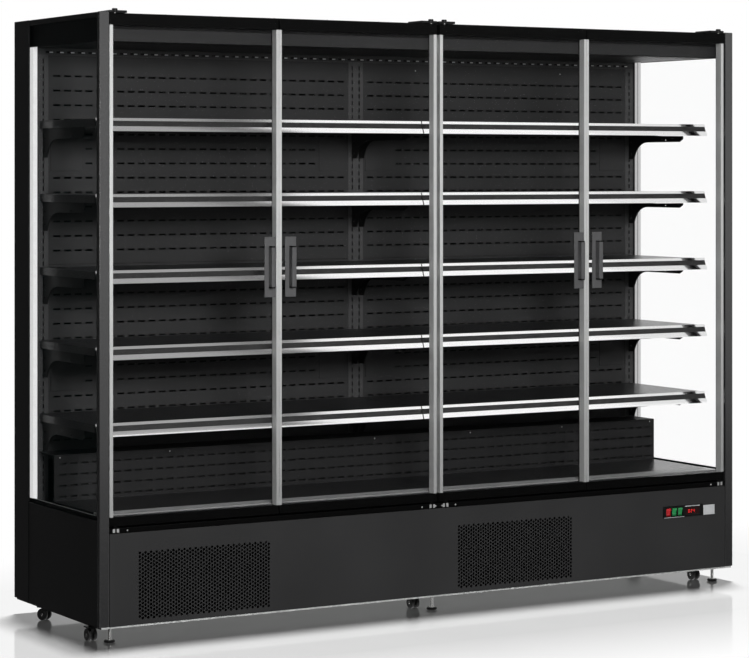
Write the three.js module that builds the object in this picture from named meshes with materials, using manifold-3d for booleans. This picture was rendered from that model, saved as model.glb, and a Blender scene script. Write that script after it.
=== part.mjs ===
// Plug-in multideck display fridge with four hinged glass doors in two pairs.
// Millimetres, +Z up, the front faces -Y, origin on the floor under the middle of the cabinet.
import * as THREE from "three";
import { mergeVertices } from "three/addons/utils/BufferGeometryUtils.js";
import Module from "manifold-3d";

const wasm = await Module();
wasm.setup();

// ---- driving dimensions ----

const cabinetWidth = 2508;
const bodyDepth = 688;
const bodyTop = 1990;
const groundClearance = 57;
const handleProud = 30;
const fitGap = 0.3;
const sheet = 1.5;

// end frames: a post at the front and back, a rail on top and a panel below, round a glass unit
const endThickness = 33;
const frontPostWidth = 20;
const rearPostWidth = 121;
const topRailHeight = 17;
const endPane = 4;
const endGlassThickness = 24;
const endGlassInset = 1;
const endSpacerWidth = 14;
const rearSpacerWidth = 28;

// insulated shell and sheet-metal interior
const rearWallThickness = 46;
const roofThickness = 50;
const canopyHeight = 90;
const ceilingDrop = 24;
const headerDepth = 40;
const dischargeSlotWidth = 60;
const dischargeSlotMargin = 40;
const dischargeSlotBack = 6;
const tubHeight = 40;
const sillThickness = 25;
const deckHeight = 15;
const deckSheet = 3;
const returnGrilleDepth = 71;
const plenumHeight = 152;
const plenumDepth = 133;
const ductDepth = 80;
const ductPanelLap = 26;
const ductReturn = 15;

// slots that let the cold air through
const louvreHeight = 5;
const louvreTopMargin = 66;
const louvreBottomMargin = 63;
const upperLouvreRows = 13;
const lowerLouvreRows = 12;
const panelSeam = 50;
const louvresPerRow = 2;
const louvreEndMargin = 45;
const louvreBridge = 30;
const plenumLouvrePitch = 36;
const plenumLouvreRows = 3;
const plenumLouvresPerRow = 6;
const grilleSlots = 20;
const grilleSlotMargin = 12;

// slotted uprights
const uprightWidth = 60;
const sideUprightWidth = 36;
const uprightDepth = 25;
const uprightWall = 2;
const slotSpread = 14;
const slotWidth = 5;
const slotHeight = 30;
const slotAboveHook = 2;

// shelves
const shelfLevels = 5;
const topShelfDrop = 241;
const lowestShelfLift = 129;
const shelfEndGap = 5;
const shelfSeam = 4;
const panFlange = 25;
const panDrop = 3;
const ticketRailHeight = 42;
const ticketRailLean = 16;
const ticketRailThickness = 6;
const ticketRailSetback = 99;
const bracketThickness = 3;
const bracketReach = 335;
const bracketHeight = 125;
const bracketArmDepth = 63;
const bracketFoot = 33;
const bracketCurve = 120;
const bracketNose = 20;
const hookHeight = 12;
const hookDrop = 8;
const hookReach = 5;

// kick panel with its two air grilles
const kickTop = 349;
const kickReturn = 18;
const kickSideGap = 2;
const ventWidth = 470;
const ventHeight = 212;
const ventLift = 22;
const ventFromEnd = 105;
const ventRightX = 78;
const ventColumns = 8;
const ventRows = 4;
const ventHoleRadius = 17;

// control panel
const bezelWidth = 177;
const bezelHeight = 43;
const bezelFromTop = 57;
const bezelFromEnd = 104;
const bezelProud = 2.5;
const bezelCoreInset = 5;
const bezelCoreDepth = 26;
const rockerCount = 3;
const rockerWidth = 20;
const rockerHeight = 30;
const rockerPitch = 26;
const rockerMargin = 9;
const rockerDepth = 14;
const rockerTilt = 10;
const rockerClearance = 1;
const rockerSwing = 4;

// doors
const doorBottomLift = 23;
const doorTopGap = 4;
const doorThickness = 38;
const doorSideGap = 4;
const doorMeetingGap = 4;
const doorCentreGap = 13;
const frontPane = 5;
const rearPane = 4;
const paneSpace = 20;
const doorSpacer = 3;
const doorProfile = 12;
const doorBottomRail = 28;
const doorTopRail = 36;
const gasketSpace = 10;
const pivotInset = 20;
const pivotBack = 10.5;
const pivotRadius = 4;
const pivotLength = 11;

// door hinges on the roof and on the rail under the doors
const hingeArmLength = 60;
const hingeArmReach = 46;
const hingeArmThickness = 8;
const hingeArmLift = 2;
const hingeBossRadius = 9;
const hingeBossTop = 12;
const hingeRailRecess = 4;
const hingeRailHeight = 17;

// door handles: a plate with a hooked grip, the fingers go behind its lip
const handlePlateWidth = 40;
const handlePlateHeight = 196;
const handlePlate = 4;
const handleInset = 16;
const handleCentre = 1177;
const gripLength = 128;
const gripFoot = 14;
const gripStem = 10;
const gripLean = -2;
const gripFront = 16;
const gripLip = 7;
const gripEdge = 3;
const gripEndTaper = 5;

// chassis tray with its rails
const trayDrop = 6;
const trayThickness = 3;
const trayInset = 8;
const trayRim = 30;
const railWidth = 30;
const railHeight = 40;
const frontRailBack = 139;
const rearRailFront = 119;

// levelling feet
const footFromEnd = 56;
const footSetback = 48;
const footPadRadius = 18;
const footPadHeight = 9;
const footStemRadius = 6;
const footStemRise = 45;
const footBossRadius = 13;
const footBossHeight = 33;

// twin-wheel castors
const castorSide = 38;
const castorBack = 46;
const rearCastorFromEnd = 49;
const rearCastorInset = 169;
const castorHeadroom = 11;
const wheelWidth = 10;
const wheelTrail = 14;
const castorWeb = 10;
const axleRadius = 3;
const axleOverhang = 1.5;
const hoodThickness = 4;
const hoodWheelGap = 1.5;
const crownRadius = 13;
const castorStemRadius = 5;
const rearCastorTurn = 30;

// refrigeration
const coilFins = 24;
const coilFin = 6;
const finBar = 10;
const coilTopGap = 15;
const coilMargin = 120;
const coilSideGap = 11.5;
const unitMargin = 15;
const unitBehindKick = 24;
const unitBase = 3;
const unitBackGap = 56.5;
const unitHeadroom = 36;
const condenserDepth = 50;
const condenserFins = 12;
const condenserFin = 5;
const shroudDepth = 60;
const shroudPlate = 4;
const shroudRim = 8;
const fanTipGap = 8;
const fanHubRadius = 24;
const fanWidth = 22;
const fanBlades = 5;
const bladeThickness = 3;
const bladeChord = 46;
const bladePitch = 28;
const fanShaftRadius = 4;
const fanShaftLength = 60;
const motorRadius = 30;
const motorLength = 60;
const motorGap = 30;
const motorStrut = 24;
const motorStrutBack = 10;
const compressorRadius = 82;
const compressorBelow = 26;
const compressorDome = 57;
const compressorCrown = 13;
const compressorCrownRadius = 66;
const compressorGap = 60;

// ---- places worked out from the driving dimensions ----

const frontY = (handleProud - bodyDepth) / 2;
const backY = frontY + bodyDepth;
const innerX = cabinetWidth / 2 - endThickness;
const linerX = innerX - fitGap;
const rearWallY = backY - rearWallThickness;
const ductY = rearWallY - ductDepth;
const plenumY = ductY - plenumDepth;
const sealY = frontY + doorThickness + gasketSpace;
const ceilingHeight = bodyTop - canopyHeight;
const tubFloorTop = kickTop + tubHeight;
const deckTop = tubFloorTop + deckHeight;
const plenumTop = deckTop + plenumHeight;
const ductPanelBottom = plenumTop - ductPanelLap;
const topShelf = ceilingHeight - topShelfDrop;
const shelfPitch = (topShelf - plenumTop - lowestShelfLift) / (shelfLevels - 1);
const doorBottom = kickTop + doorBottomLift;
const doorTop = bodyTop - doorTopGap;
const hingeRailTop = kickTop + hingeRailHeight;
const trayUnder = groundClearance - trayDrop;
const trayTop = groundClearance - fitGap;
const roofUnder = bodyTop - roofThickness;
const tubUnder = kickTop + fitGap;
const liningTop = ceilingHeight - ceilingDrop - fitGap;
const liningBottom = tubFloorTop + fitGap;
const sideUprightX = linerX - sideUprightWidth;
const shelfFrontY = frontY + ticketRailSetback;
const doorWidth = (2 * innerX - 2 * doorSideGap - 2 * doorMeetingGap - doorCentreGap) / 4;
const pivotY = frontY + pivotBack;
const ventBottom = groundClearance + ventLift;
const ventLeftX = ventFromEnd - innerX;
const unitX0 = ventLeftX + unitMargin;
const unitX1 = ventLeftX + ventWidth - unitMargin;
const unitFrontY = frontY + sheet + unitBehindKick;
const unitFloor = trayUnder + trayThickness + railHeight + fitGap;
const condenserHeight = tubUnder - unitHeadroom - unitFloor - unitBase;
const fanRadius = condenserHeight / 2 - shroudRim - fanTipGap;
const compressorHeight = condenserHeight - compressorBelow;
const fanX = (unitX0 + unitX1) / 2;
const fanZ = unitFloor + unitBase + condenserHeight / 2;
const shroudY = unitFrontY + condenserDepth + shroudDepth;
const fanY = shroudY - fanWidth / 2;
const motorY = shroudY + motorGap;

// ---- solids ----

// A closed geometry as a solid that can be joined and cut.
function solid(geometry) {
  const bare = geometry.clone();
  bare.deleteAttribute("normal");
  bare.deleteAttribute("uv");
  const merged = mergeVertices(bare, 1e-4);
  return new wasm.Manifold(
    new wasm.Mesh({
      numProp: 3,
      vertProperties: merged.attributes.position.array,
      triVerts: new Uint32Array(merged.index.array),
    }),
  );
}

function join(...solids) {
  return solids.reduce((sum, next) => sum.add(next));
}

function cut(from, ...solids) {
  return solids.reduce((rest, next) => rest.subtract(next), from);
}

function slab([x0, x1], [y0, y1], [z0, z1]) {
  const box = new THREE.BoxGeometry(Math.abs(x1 - x0), Math.abs(y1 - y0), Math.abs(z1 - z0));
  return solid(box.translate((x0 + x1) / 2, (y0 + y1) / 2, (z0 + z1) / 2));
}

function extruded(points, length, basis, origin) {
  const shape = new THREE.Shape(points.map(([u, v]) => new THREE.Vector2(u, v)));
  const geometry = new THREE.ExtrudeGeometry(shape, { depth: length, bevelEnabled: false });
  return solid(geometry.applyMatrix4(basis.setPosition(...origin)));
}

const along = {
  x: new THREE.Vector3(1, 0, 0),
  y: new THREE.Vector3(0, 1, 0),
  z: new THREE.Vector3(0, 0, 1),
};

// Points are (y, z), pushed along X.
function prismX(points, [x0, x1]) {
  const basis = new THREE.Matrix4().makeBasis(along.y, along.z, along.x);
  return extruded(points, x1 - x0, basis, [x0, 0, 0]);
}

// Points are (x, z), pushed along Y.
function prismY(points, [y0, y1]) {
  const basis = new THREE.Matrix4().makeBasis(along.x, along.z, along.y.clone().negate());
  return extruded(points, y1 - y0, basis, [0, y1, 0]);
}

// Points are (x, y), pushed along Z.
function prismZ(points, [z0, z1]) {
  return extruded(points, z1 - z0, new THREE.Matrix4(), [0, 0, z0]);
}

// A plate pushed the same way as its holes, which run a little past both faces.
function punched(prism, points, [from, to], holes) {
  return cut(prism(points, [from, to]), ...holes.map((hole) => prism(hole, [from - 1, to + 1])));
}

function rectangle([u0, u1], [v0, v1]) {
  return [
    [u0, v0],
    [u1, v0],
    [u1, v1],
    [u0, v1],
  ];
}

function polygon(radius, sides, [u, v] = [0, 0]) {
  return Array.from({ length: sides }, (_, i) => {
    const angle = ((i + 0.5) / sides) * 2 * Math.PI;
    return [u + radius * Math.cos(angle), v + radius * Math.sin(angle)];
  });
}

function postZ(radius, sides, [x, y], span) {
  return prismZ(polygon(radius, sides, [x, y]), span);
}

const cabinet = new THREE.Group();

function addMesh(name, body, material, parent = cabinet) {
  const made = body.getMesh();
  const geometry = new THREE.BufferGeometry();
  geometry.setAttribute("position", new THREE.BufferAttribute(made.vertProperties, 3));
  geometry.setIndex(new THREE.BufferAttribute(made.triVerts, 1));
  geometry.computeVertexNormals();
  const mesh = new THREE.Mesh(geometry, material);
  mesh.name = name;
  parent.add(mesh);
  return mesh;
}

function finish(color, roughness, metalness = 0, opacity = 1) {
  return new THREE.MeshStandardMaterial({
    color,
    roughness,
    metalness,
    opacity,
    transparent: opacity < 1,
    flatShading: true,
  });
}

// ---- end frames and their glass ----

function endFrame(side) {
  const opening = rectangle(
    [frontY + frontPostWidth, backY - rearPostWidth],
    [tubFloorTop, bodyTop - topRailHeight],
  );
  const x0 = side > 0 ? innerX : -cabinetWidth / 2;
  const outer = rectangle([frontY, backY], [groundClearance, bodyTop]);
  return punched(prismX, outer, [x0, x0 + endThickness], [opening]);
}

// Two panes held apart by a spacer along the front, the foot and the back edge, open at the top.
function endGlass(side) {
  const outerX = side * (cabinetWidth / 2 - endGlassInset);
  const innerFaceX = outerX - side * endGlassThickness;
  const y = [frontY + frontPostWidth + fitGap, backY - rearPostWidth - fitGap];
  const z = [tubFloorTop + fitGap, bodyTop - topRailHeight - fitGap];
  const width = [outerX, innerFaceX];
  return join(
    slab([outerX, outerX - side * endPane], y, z),
    slab([innerFaceX, innerFaceX + side * endPane], y, z),
    slab(width, [y[0], y[0] + endSpacerWidth], z),
    slab(width, [y[1] - rearSpacerWidth, y[1]], z),
    slab(width, y, [z[0], z[0] + endSpacerWidth]),
  );
}

// ---- insulated shell ----

function rearWall() {
  return slab([-linerX, linerX], [rearWallY, backY], [groundClearance, roofUnder - fitGap]);
}

// Insulated roof with the header behind the doors, the ceiling sheet and the top hinge arms.
function roofCanopy() {
  const profile = [
    [sealY, ceilingHeight],
    [ductY, ceilingHeight],
    [ductY, ceilingHeight - ceilingDrop],
    [ductY + deckSheet, ceilingHeight - ceilingDrop],
    [ductY + deckSheet, ceilingHeight + deckSheet],
    [sealY + headerDepth, ceilingHeight + deckSheet],
    [sealY + headerDepth, roofUnder],
    [backY, roofUnder],
    [backY, bodyTop],
    [sealY, bodyTop],
  ];
  const dischargeY = sealY + headerDepth + dischargeSlotBack;
  const discharge = slab(
    [dischargeSlotMargin - linerX, linerX - dischargeSlotMargin],
    [dischargeY, dischargeY + dischargeSlotWidth],
    [ceilingHeight - 1, ceilingHeight + deckSheet + 1],
  );
  const arms = doorHinges.map(({ edge, sign }) => hingeArm(edge, sign));
  return join(cut(prismX(profile, [-linerX, linerX]), discharge), ...arms);
}

function hingeArm(edge, sign) {
  const pivotX = edge + sign * pivotInset;
  const armBottom = doorTop + hingeArmLift;
  const plate = slab(
    [edge, edge + sign * hingeArmLength],
    [frontY + hingeRailRecess, sealY + hingeArmReach],
    [armBottom, armBottom + hingeArmThickness],
  );
  const boss = postZ(hingeBossRadius, 12, [pivotX, pivotY], [armBottom, bodyTop + hingeBossTop]);
  const bore = postZ(pivotHoleRadius, 12, [pivotX, pivotY], [doorTop, bodyTop + hingeBossTop + 1]);
  return cut(join(plate, boss), bore);
}

// Insulated floor of the display space with the sill in front.
function baseTub() {
  const profile = [
    [sealY, tubUnder],
    [rearWallY - fitGap, tubUnder],
    [rearWallY - fitGap, tubFloorTop],
    [sealY + sillThickness, tubFloorTop],
    [sealY + sillThickness, deckTop - deckSheet - fitGap],
    [sealY, deckTop - deckSheet - fitGap],
  ];
  return prismX(profile, [-linerX, linerX]);
}

// Rail under the doors with a raised pivot block for each door.
function bottomHingeRail() {
  const rail = slab(
    [-linerX, linerX],
    [frontY + hingeRailRecess, sealY - fitGap],
    [kickTop + fitGap, hingeRailTop],
  );
  const blocks = doorHinges.map(({ edge, sign }) =>
    postZ(hingeBossRadius, 12, [edge + sign * pivotInset, pivotY], [kickTop + 1, doorBottom - fitGap]),
  );
  const bores = doorHinges.map(({ edge, sign }) =>
    postZ(
      pivotHoleRadius,
      12,
      [edge + sign * pivotInset, pivotY],
      [doorBottom - pivotLength - 2 * fitGap, doorBottom],
    ),
  );
  return cut(join(rail, ...blocks), ...bores);
}

// ---- sheet-metal interior ----

// Even stretches of [from, to] with a bridge of metal between them.
function stretches([from, to], count, bridge) {
  const length = (to - from - bridge * (count - 1)) / count;
  return Array.from({ length: count }, (_, i) => {
    const start = from + i * (length + bridge);
    return [start, start + length];
  });
}

function louvreHoles(xSpan, tops, perRow) {
  return tops.flatMap((top) =>
    stretches(xSpan, perRow, louvreBridge).map((span) => rectangle(span, [top - louvreHeight, top])),
  );
}

// A folded sheet with two fields of louvres and a return along each edge.
function ductPanel(side) {
  const inner = uprightWidth / 2 + fitGap;
  const outer = sideUprightX - fitGap;
  const x = side > 0 ? [inner, outer] : [-outer, -inner];
  const z = [ductPanelBottom, liningTop];
  const field = z[1] - louvreTopMargin - panelSeam - z[0] - louvreBottomMargin;
  const pitch = field / (upperLouvreRows + lowerLouvreRows - 1);
  const row = (i) => z[1] - louvreTopMargin - i * pitch - (i < upperLouvreRows ? 0 : panelSeam);
  const tops = Array.from({ length: upperLouvreRows + lowerLouvreRows }, (_, i) => row(i));
  const holes = louvreHoles([x[0] + louvreEndMargin, x[1] - louvreEndMargin], tops, louvresPerRow);
  const back = ductY + ductReturn;
  return join(
    punched(prismY, rectangle(x, z), [ductY, ductY + sheet], holes),
    slab([x[0], x[0] + sheet], [ductY, back], z),
    slab([x[1] - sheet, x[1]], [ductY, back], z),
    slab(x, [ductY, back], [z[0], z[0] + sheet]),
    slab(x, [ductY, back], [z[1] - sheet, z[1]]),
  );
}

// Cover over the evaporator: a louvred front and a lid that reaches the duct panels.
function plenumCover() {
  const x = [-linerX, linerX];
  const row = (_, i) => plenumTop - (i + 1) * plenumLouvrePitch;
  const rows = Array.from({ length: plenumLouvreRows }, row);
  const holes = louvreHoles([x[0] + louvreEndMargin, x[1] - louvreEndMargin], rows, plenumLouvresPerRow);
  return join(
    punched(prismY, rectangle(x, [liningBottom, plenumTop]), [plenumY, plenumY + sheet], holes),
    slab(x, [plenumY, ductY - fitGap], [plenumTop - sheet, plenumTop]),
  );
}

function returnGrille() {
  const y = [sealY, sealY + returnGrilleDepth - fitGap];
  const x = [grilleSlotMargin - linerX, linerX - grilleSlotMargin];
  const holes = stretches(x, grilleSlots, grilleSlotMargin).map((span) =>
    rectangle(span, [y[0] + sillThickness + fitGap, y[1] - grilleSlotMargin]),
  );
  return punched(prismZ, rectangle([-linerX, linerX], y), [deckTop - deckSheet, deckTop], holes);
}

// The lowest shelf: a sheet with a leg along its front and back edge.
function baseDeck() {
  const x = [-linerX, linerX];
  const y = [sealY + returnGrilleDepth, plenumY - fitGap];
  const leg = [liningBottom, deckTop - 1];
  return join(
    slab(x, y, [deckTop - deckSheet, deckTop]),
    slab(x, [y[0], y[0] + deckSheet], leg),
    slab(x, [y[1] - deckSheet, y[1]], leg),
  );
}

// ---- slotted uprights ----

const shelfTops = Array.from({ length: shelfLevels }, (_, i) => topShelf - i * shelfPitch);

// The two hooks of a bracket, measured down from the shelf's top.
const hookTops = [hookDrop, bracketHeight - hookHeight - hookReach];

function upright([x0, x1], slotColumns) {
  const back = ductY + uprightDepth;
  const z = [liningBottom, liningTop];
  const slots = slotColumns.flatMap((x) =>
    shelfTops.flatMap((top) =>
      hookTops.map((down) => {
        const slotTop = top - panDrop - down + slotAboveHook;
        return rectangle([x - slotWidth / 2, x + slotWidth / 2], [slotTop - slotHeight, slotTop]);
      }),
    ),
  );
  return join(
    punched(prismY, rectangle([x0, x1], z), [ductY, ductY + uprightWall], slots),
    slab([x0, x0 + uprightWall], [ductY, back], z),
    slab([x1 - uprightWall, x1], [ductY, back], z),
  );
}

const sideSlotX = sideUprightX + sideUprightWidth / 2;

// ---- shelves ----

// Cantilever bracket: an arm under the pan and a leg whose hooks reach through the upright's slots.
function bracket(x, top) {
  const rearY = ductY - fitGap;
  const armTop = top - panDrop - 1;
  const behind = ductY + uprightWall + fitGap;
  const hooks = hookTops.map((down) => {
    const hookTop = top - panDrop - down;
    const hookBottom = hookTop - hookHeight;
    return [
      [rearY, hookTop],
      [behind + hookReach, hookTop],
      [behind + hookReach, hookBottom - hookReach],
      [behind, hookBottom - hookReach],
      [behind, hookBottom],
      [rearY, hookBottom],
    ];
  });
  const armBottom = top - bracketArmDepth;
  const gusset = new THREE.QuadraticBezierCurve(
    new THREE.Vector2(rearY - bracketFoot, top - bracketHeight),
    new THREE.Vector2(rearY - bracketFoot - bracketNose, armBottom),
    new THREE.Vector2(rearY - bracketCurve, armBottom),
  );
  const points = [
    [rearY, armTop],
    ...hooks.flat(),
    [rearY, top - bracketHeight],
    ...gusset.getPoints(5).map(({ x: y, y: z }) => [y, z]),
    [rearY - bracketReach + bracketNose, armBottom],
    [rearY - bracketReach, armBottom + bracketNose / 2],
    [rearY - bracketReach, armTop],
  ];
  return prismX(points, [x - bracketThickness / 2, x + bracketThickness / 2]);
}

// Pan, ticket rail and two brackets as they are hooked in together.
function shelf(side, top) {
  const inner = side * (shelfSeam / 2);
  const outer = side * (innerX - shelfEndGap);
  const x = [Math.min(inner, outer), Math.max(inner, outer)];
  const panTop = top - panDrop;
  const y = [shelfFrontY + ticketRailLean, ductY - fitGap];
  const flange = [panTop - panFlange, panTop];
  const rail = [
    [shelfFrontY + ticketRailLean, top],
    [shelfFrontY, top - ticketRailHeight],
    [shelfFrontY + ticketRailThickness, top - ticketRailHeight],
    [shelfFrontY + ticketRailLean + ticketRailThickness, top],
  ];
  return join(
    slab(x, y, [panTop - sheet, panTop]),
    slab(x, [y[1] - sheet, y[1]], flange),
    slab([x[0], x[0] + sheet], y, flange),
    slab([x[1] - sheet, x[1]], y, flange),
    prismX(rail, x),
    bracket(side * slotSpread, top),
    bracket(side * sideSlotX, top),
  );
}

// ---- kick panel and controls ----

// Staggered six-sided holes that fill the grille's rectangle.
function ventHoles(x0) {
  const columnPitch = ventWidth / (ventColumns + 0.5);
  const rowPitch = ventHeight / ventRows;
  const holes = [];
  for (let row = 0; row < ventRows; row++) {
    for (let column = 0; column < ventColumns; column++) {
      const x = x0 + columnPitch * (column + 0.5 + (row % 2) / 2);
      holes.push(polygon(ventHoleRadius, 6, [x, ventBottom + rowPitch * (row + 0.5)]));
    }
  }
  return holes;
}

const bezelX1 = innerX - bezelFromEnd;
const bezelX0 = bezelX1 - bezelWidth;
const bezelTop = kickTop - bezelFromTop;
const bezelBottom = bezelTop - bezelHeight;

function kickPanel() {
  const halfWidth = innerX - kickSideGap;
  const x = [-halfWidth, halfWidth];
  const z = [groundClearance, kickTop];
  const controls = rectangle(
    [bezelX0 + bezelCoreInset - fitGap, bezelX1 - bezelCoreInset + fitGap],
    [bezelBottom + bezelCoreInset - fitGap, bezelTop - bezelCoreInset + fitGap],
  );
  const holes = [...ventHoles(ventLeftX), ...ventHoles(ventRightX), controls];
  const y = [frontY, frontY + kickReturn];
  return join(
    punched(prismY, rectangle(x, z), [frontY, frontY + sheet], holes),
    slab(x, y, [z[0], z[0] + sheet]),
    slab(x, y, [z[1] - sheet, z[1]]),
    slab([x[0], x[0] + sheet], y, z),
    slab([x[1] - sheet, x[1]], y, z),
  );
}

const rockerZ = bezelBottom + bezelHeight / 2;
const rockerXs = Array.from(
  { length: rockerCount },
  (_, i) => bezelX0 + bezelCoreInset + rockerMargin + rockerWidth / 2 + i * rockerPitch,
);
const bezelFaceY = frontY - fitGap - bezelProud;
const rockerY = frontY + rockerDepth / 2 - bezelProud;

// Switch and display housing: a flange on the kick panel and a core that passes through it.
function controlPanel() {
  const flange = slab([bezelX0, bezelX1], [bezelFaceY, frontY - fitGap], [bezelBottom, bezelTop]);
  const core = slab(
    [bezelX0 + bezelCoreInset, bezelX1 - bezelCoreInset],
    [bezelFaceY + 1, frontY + bezelCoreDepth],
    [bezelBottom + bezelCoreInset, bezelTop - bezelCoreInset],
  );
  const pocketWidth = rockerWidth / 2 + fitGap;
  const pockets = rockerXs.map((x) =>
    slab(
      [x - pocketWidth, x + pocketWidth],
      [bezelFaceY - 1, rockerY + rockerDepth / 2 + rockerSwing],
      [rockerZ - rockerHeight / 2 - rockerClearance, rockerZ + rockerHeight / 2 + rockerClearance],
    ),
  );
  return cut(join(flange, core), ...pockets);
}

// Rocker button about its own pivot: its face is hollowed to a shallow V.
function rocker() {
  const half = rockerHeight / 2 - rockerClearance;
  const front = -rockerDepth / 2;
  const dip = Math.tan(THREE.MathUtils.degToRad(rockerTilt)) * half;
  const points = [
    [front, half],
    [front + dip, 0],
    [front, -half],
    [0, -half],
    [rockerDepth / 2, -half / 2],
    [rockerDepth / 2, half / 2],
    [0, half],
  ];
  return prismX(points, [-rockerWidth / 2, rockerWidth / 2]);
}

// ---- doors ----

const pivotHoleRadius = pivotRadius + 2 * fitGap;
const farEdge = innerX - doorSideGap;
const centreEdge = doorCentreGap / 2;

// Each door's hinged edge and the way it runs from there.
const doorHinges = [
  { edge: -farEdge, sign: 1 },
  { edge: -centreEdge, sign: -1 },
  { edge: centreEdge, sign: 1 },
  { edge: farEdge, sign: -1 },
];

// A door's pieces are built from its hinged edge, along +X or -X by its sign.
function doorFrame(sign) {
  const y = [frontPane + fitGap, doorThickness];
  const z = [doorBottom, doorTop];
  const stile = (from, to) => slab([sign * from, sign * to], y, z);
  const rail = (bottom, top) => slab([0, sign * doorWidth], y, [bottom, top]);
  const pin = (bottom, top) => postZ(pivotRadius, 12, [sign * pivotInset, pivotBack], [bottom, top]);
  return join(
    stile(0, doorProfile),
    stile(doorWidth - doorProfile, doorWidth),
    rail(doorBottom, doorBottom + doorBottomRail),
    rail(doorTop - doorTopRail, doorTop),
    pin(doorBottom - pivotLength, doorBottom + 1),
    pin(doorTop - 1, doorTop + pivotLength),
  );
}

// Front pane over the whole door, rear pane between the stiles, and the spacer between them.
function doorGlass(sign) {
  const span = (from, to) => [sign * from, sign * to];
  const inner = doorProfile + fitGap;
  const back = frontPane + paneSpace;
  const z = [doorBottom + doorBottomRail + fitGap, doorTop - doorTopRail - fitGap];
  const between = [frontPane - 1, back + 1];
  return join(
    slab(span(0, doorWidth), [0, frontPane], [doorBottom, doorTop]),
    slab(span(inner, doorWidth - inner), [back, back + rearPane], z),
    slab(span(inner, inner + doorSpacer), between, z),
    slab(span(doorWidth - inner - doorSpacer, doorWidth - inner), between, z),
    slab(span(inner, doorWidth - inner), between, [z[0], z[0] + doorSpacer]),
  );
}

// The grip's section is measured from the plate's edge at the meeting line, out towards the hinge.
function doorHandle(sign) {
  const section = [
    [gripFoot, -1],
    [gripFoot + gripLean, handleProud],
    [gripFoot + gripLean + gripFront - gripEdge, handleProud],
    [gripFoot + gripLean + gripFront, handleProud - gripEdge],
    [gripFoot + gripLean + gripFront, handleProud - gripLip],
    [gripFoot + gripStem + gripLean, handleProud - gripLip],
    [gripFoot + gripStem, -1],
  ];
  const toDoor = ([across, proud]) => [sign * (doorWidth - handleInset - across), -proud];
  const plateEdge = sign * (doorWidth - handleInset);
  const plate = slab(
    [plateEdge, plateEdge - sign * handlePlateWidth],
    [-fitGap - handlePlate, -fitGap],
    [handleCentre - handlePlateHeight / 2, handleCentre + handlePlateHeight / 2],
  );
  const half = gripLength / 2;
  const whole = prismZ(section.map(toDoor), [handleCentre - half, handleCentre + half]);
  const bevel = (up) =>
    prismX(
      [
        [-handlePlate, handleCentre + up * (half + 1)],
        [-handleProud - 1, handleCentre + up * (half + 1)],
        [-handleProud - 1, handleCentre + up * (half - gripEndTaper)],
        [-handlePlate, handleCentre + up * half],
      ],
      [-doorWidth - 1, doorWidth + 1],
    );
  const overshoot = slab([-doorWidth, doorWidth], [-fitGap, 2], [doorBottom, doorTop]);
  return join(plate, cut(whole, bevel(1), bevel(-1), overshoot));
}

// ---- chassis, feet and castors ----

const footSpread = cabinetWidth / 2 - footFromEnd;
const rearCastorSpread = cabinetWidth / 2 - rearCastorFromEnd;
const wheelRadius = (trayUnder - castorHeadroom) / 2;
const footXs = [-footSpread, 0, footSpread];
const footY = frontY + footSetback;
const castorSpots = [
  ...footXs.map((x) => ({ x: x - castorSide, y: footY + castorBack, turn: 0 })),
  { x: -rearCastorSpread, y: backY - rearCastorInset, turn: rearCastorTurn },
  { x: rearCastorSpread, y: backY - rearCastorInset, turn: rearCastorTurn },
];
const castorNames = ["front_left", "front_middle", "front_right", "rear_left", "rear_right"];
const footNames = ["left", "middle", "right"];

// Galvanised tray with a raised rim, two rails for the condensing unit and the bosses for the feet.
function baseChassis() {
  const halfWidth = cabinetWidth / 2 - trayInset;
  const x = [-halfWidth, halfWidth];
  const y = [frontY + trayThickness, backY - trayInset];
  const floorTop = trayUnder + trayThickness;
  const pocket = slab(
    [x[0] + trayRim, x[1] - trayRim],
    [y[0] + trayRim, y[1] - trayRim],
    [floorTop, bodyTop],
  );
  const rail = (y0) =>
    slab([-innerX + trayRim, innerX - trayRim], [y0, y0 + railWidth], [trayUnder, floorTop + railHeight]);
  const bosses = footXs.map((footX) =>
    postZ(footBossRadius, 12, [footX, footY], [trayUnder, trayUnder + footBossHeight]),
  );
  const stemHoles = footXs.map((footX) =>
    postZ(footStemRadius + 2 * fitGap, 12, [footX, footY], [trayUnder - 1, bodyTop]),
  );
  const swivelHoles = castorSpots.map((spot) =>
    postZ(castorStemRadius + 2 * fitGap, 12, [spot.x, spot.y], [trayUnder - 1, bodyTop]),
  );
  return cut(
    join(
      cut(slab(x, y, [trayUnder, trayTop]), pocket),
      rail(frontY + frontRailBack),
      rail(backY - rearRailFront),
      ...bosses,
    ),
    ...stemHoles,
    ...swivelHoles,
  );
}

function levellingFoot() {
  return join(
    postZ(footPadRadius, 16, [0, 0], [0, footPadHeight]),
    postZ(footStemRadius, 12, [0, 0], [1, trayUnder + footStemRise]),
  );
}

const hoodBottom = 2 * wheelRadius + hoodWheelGap;

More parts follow.
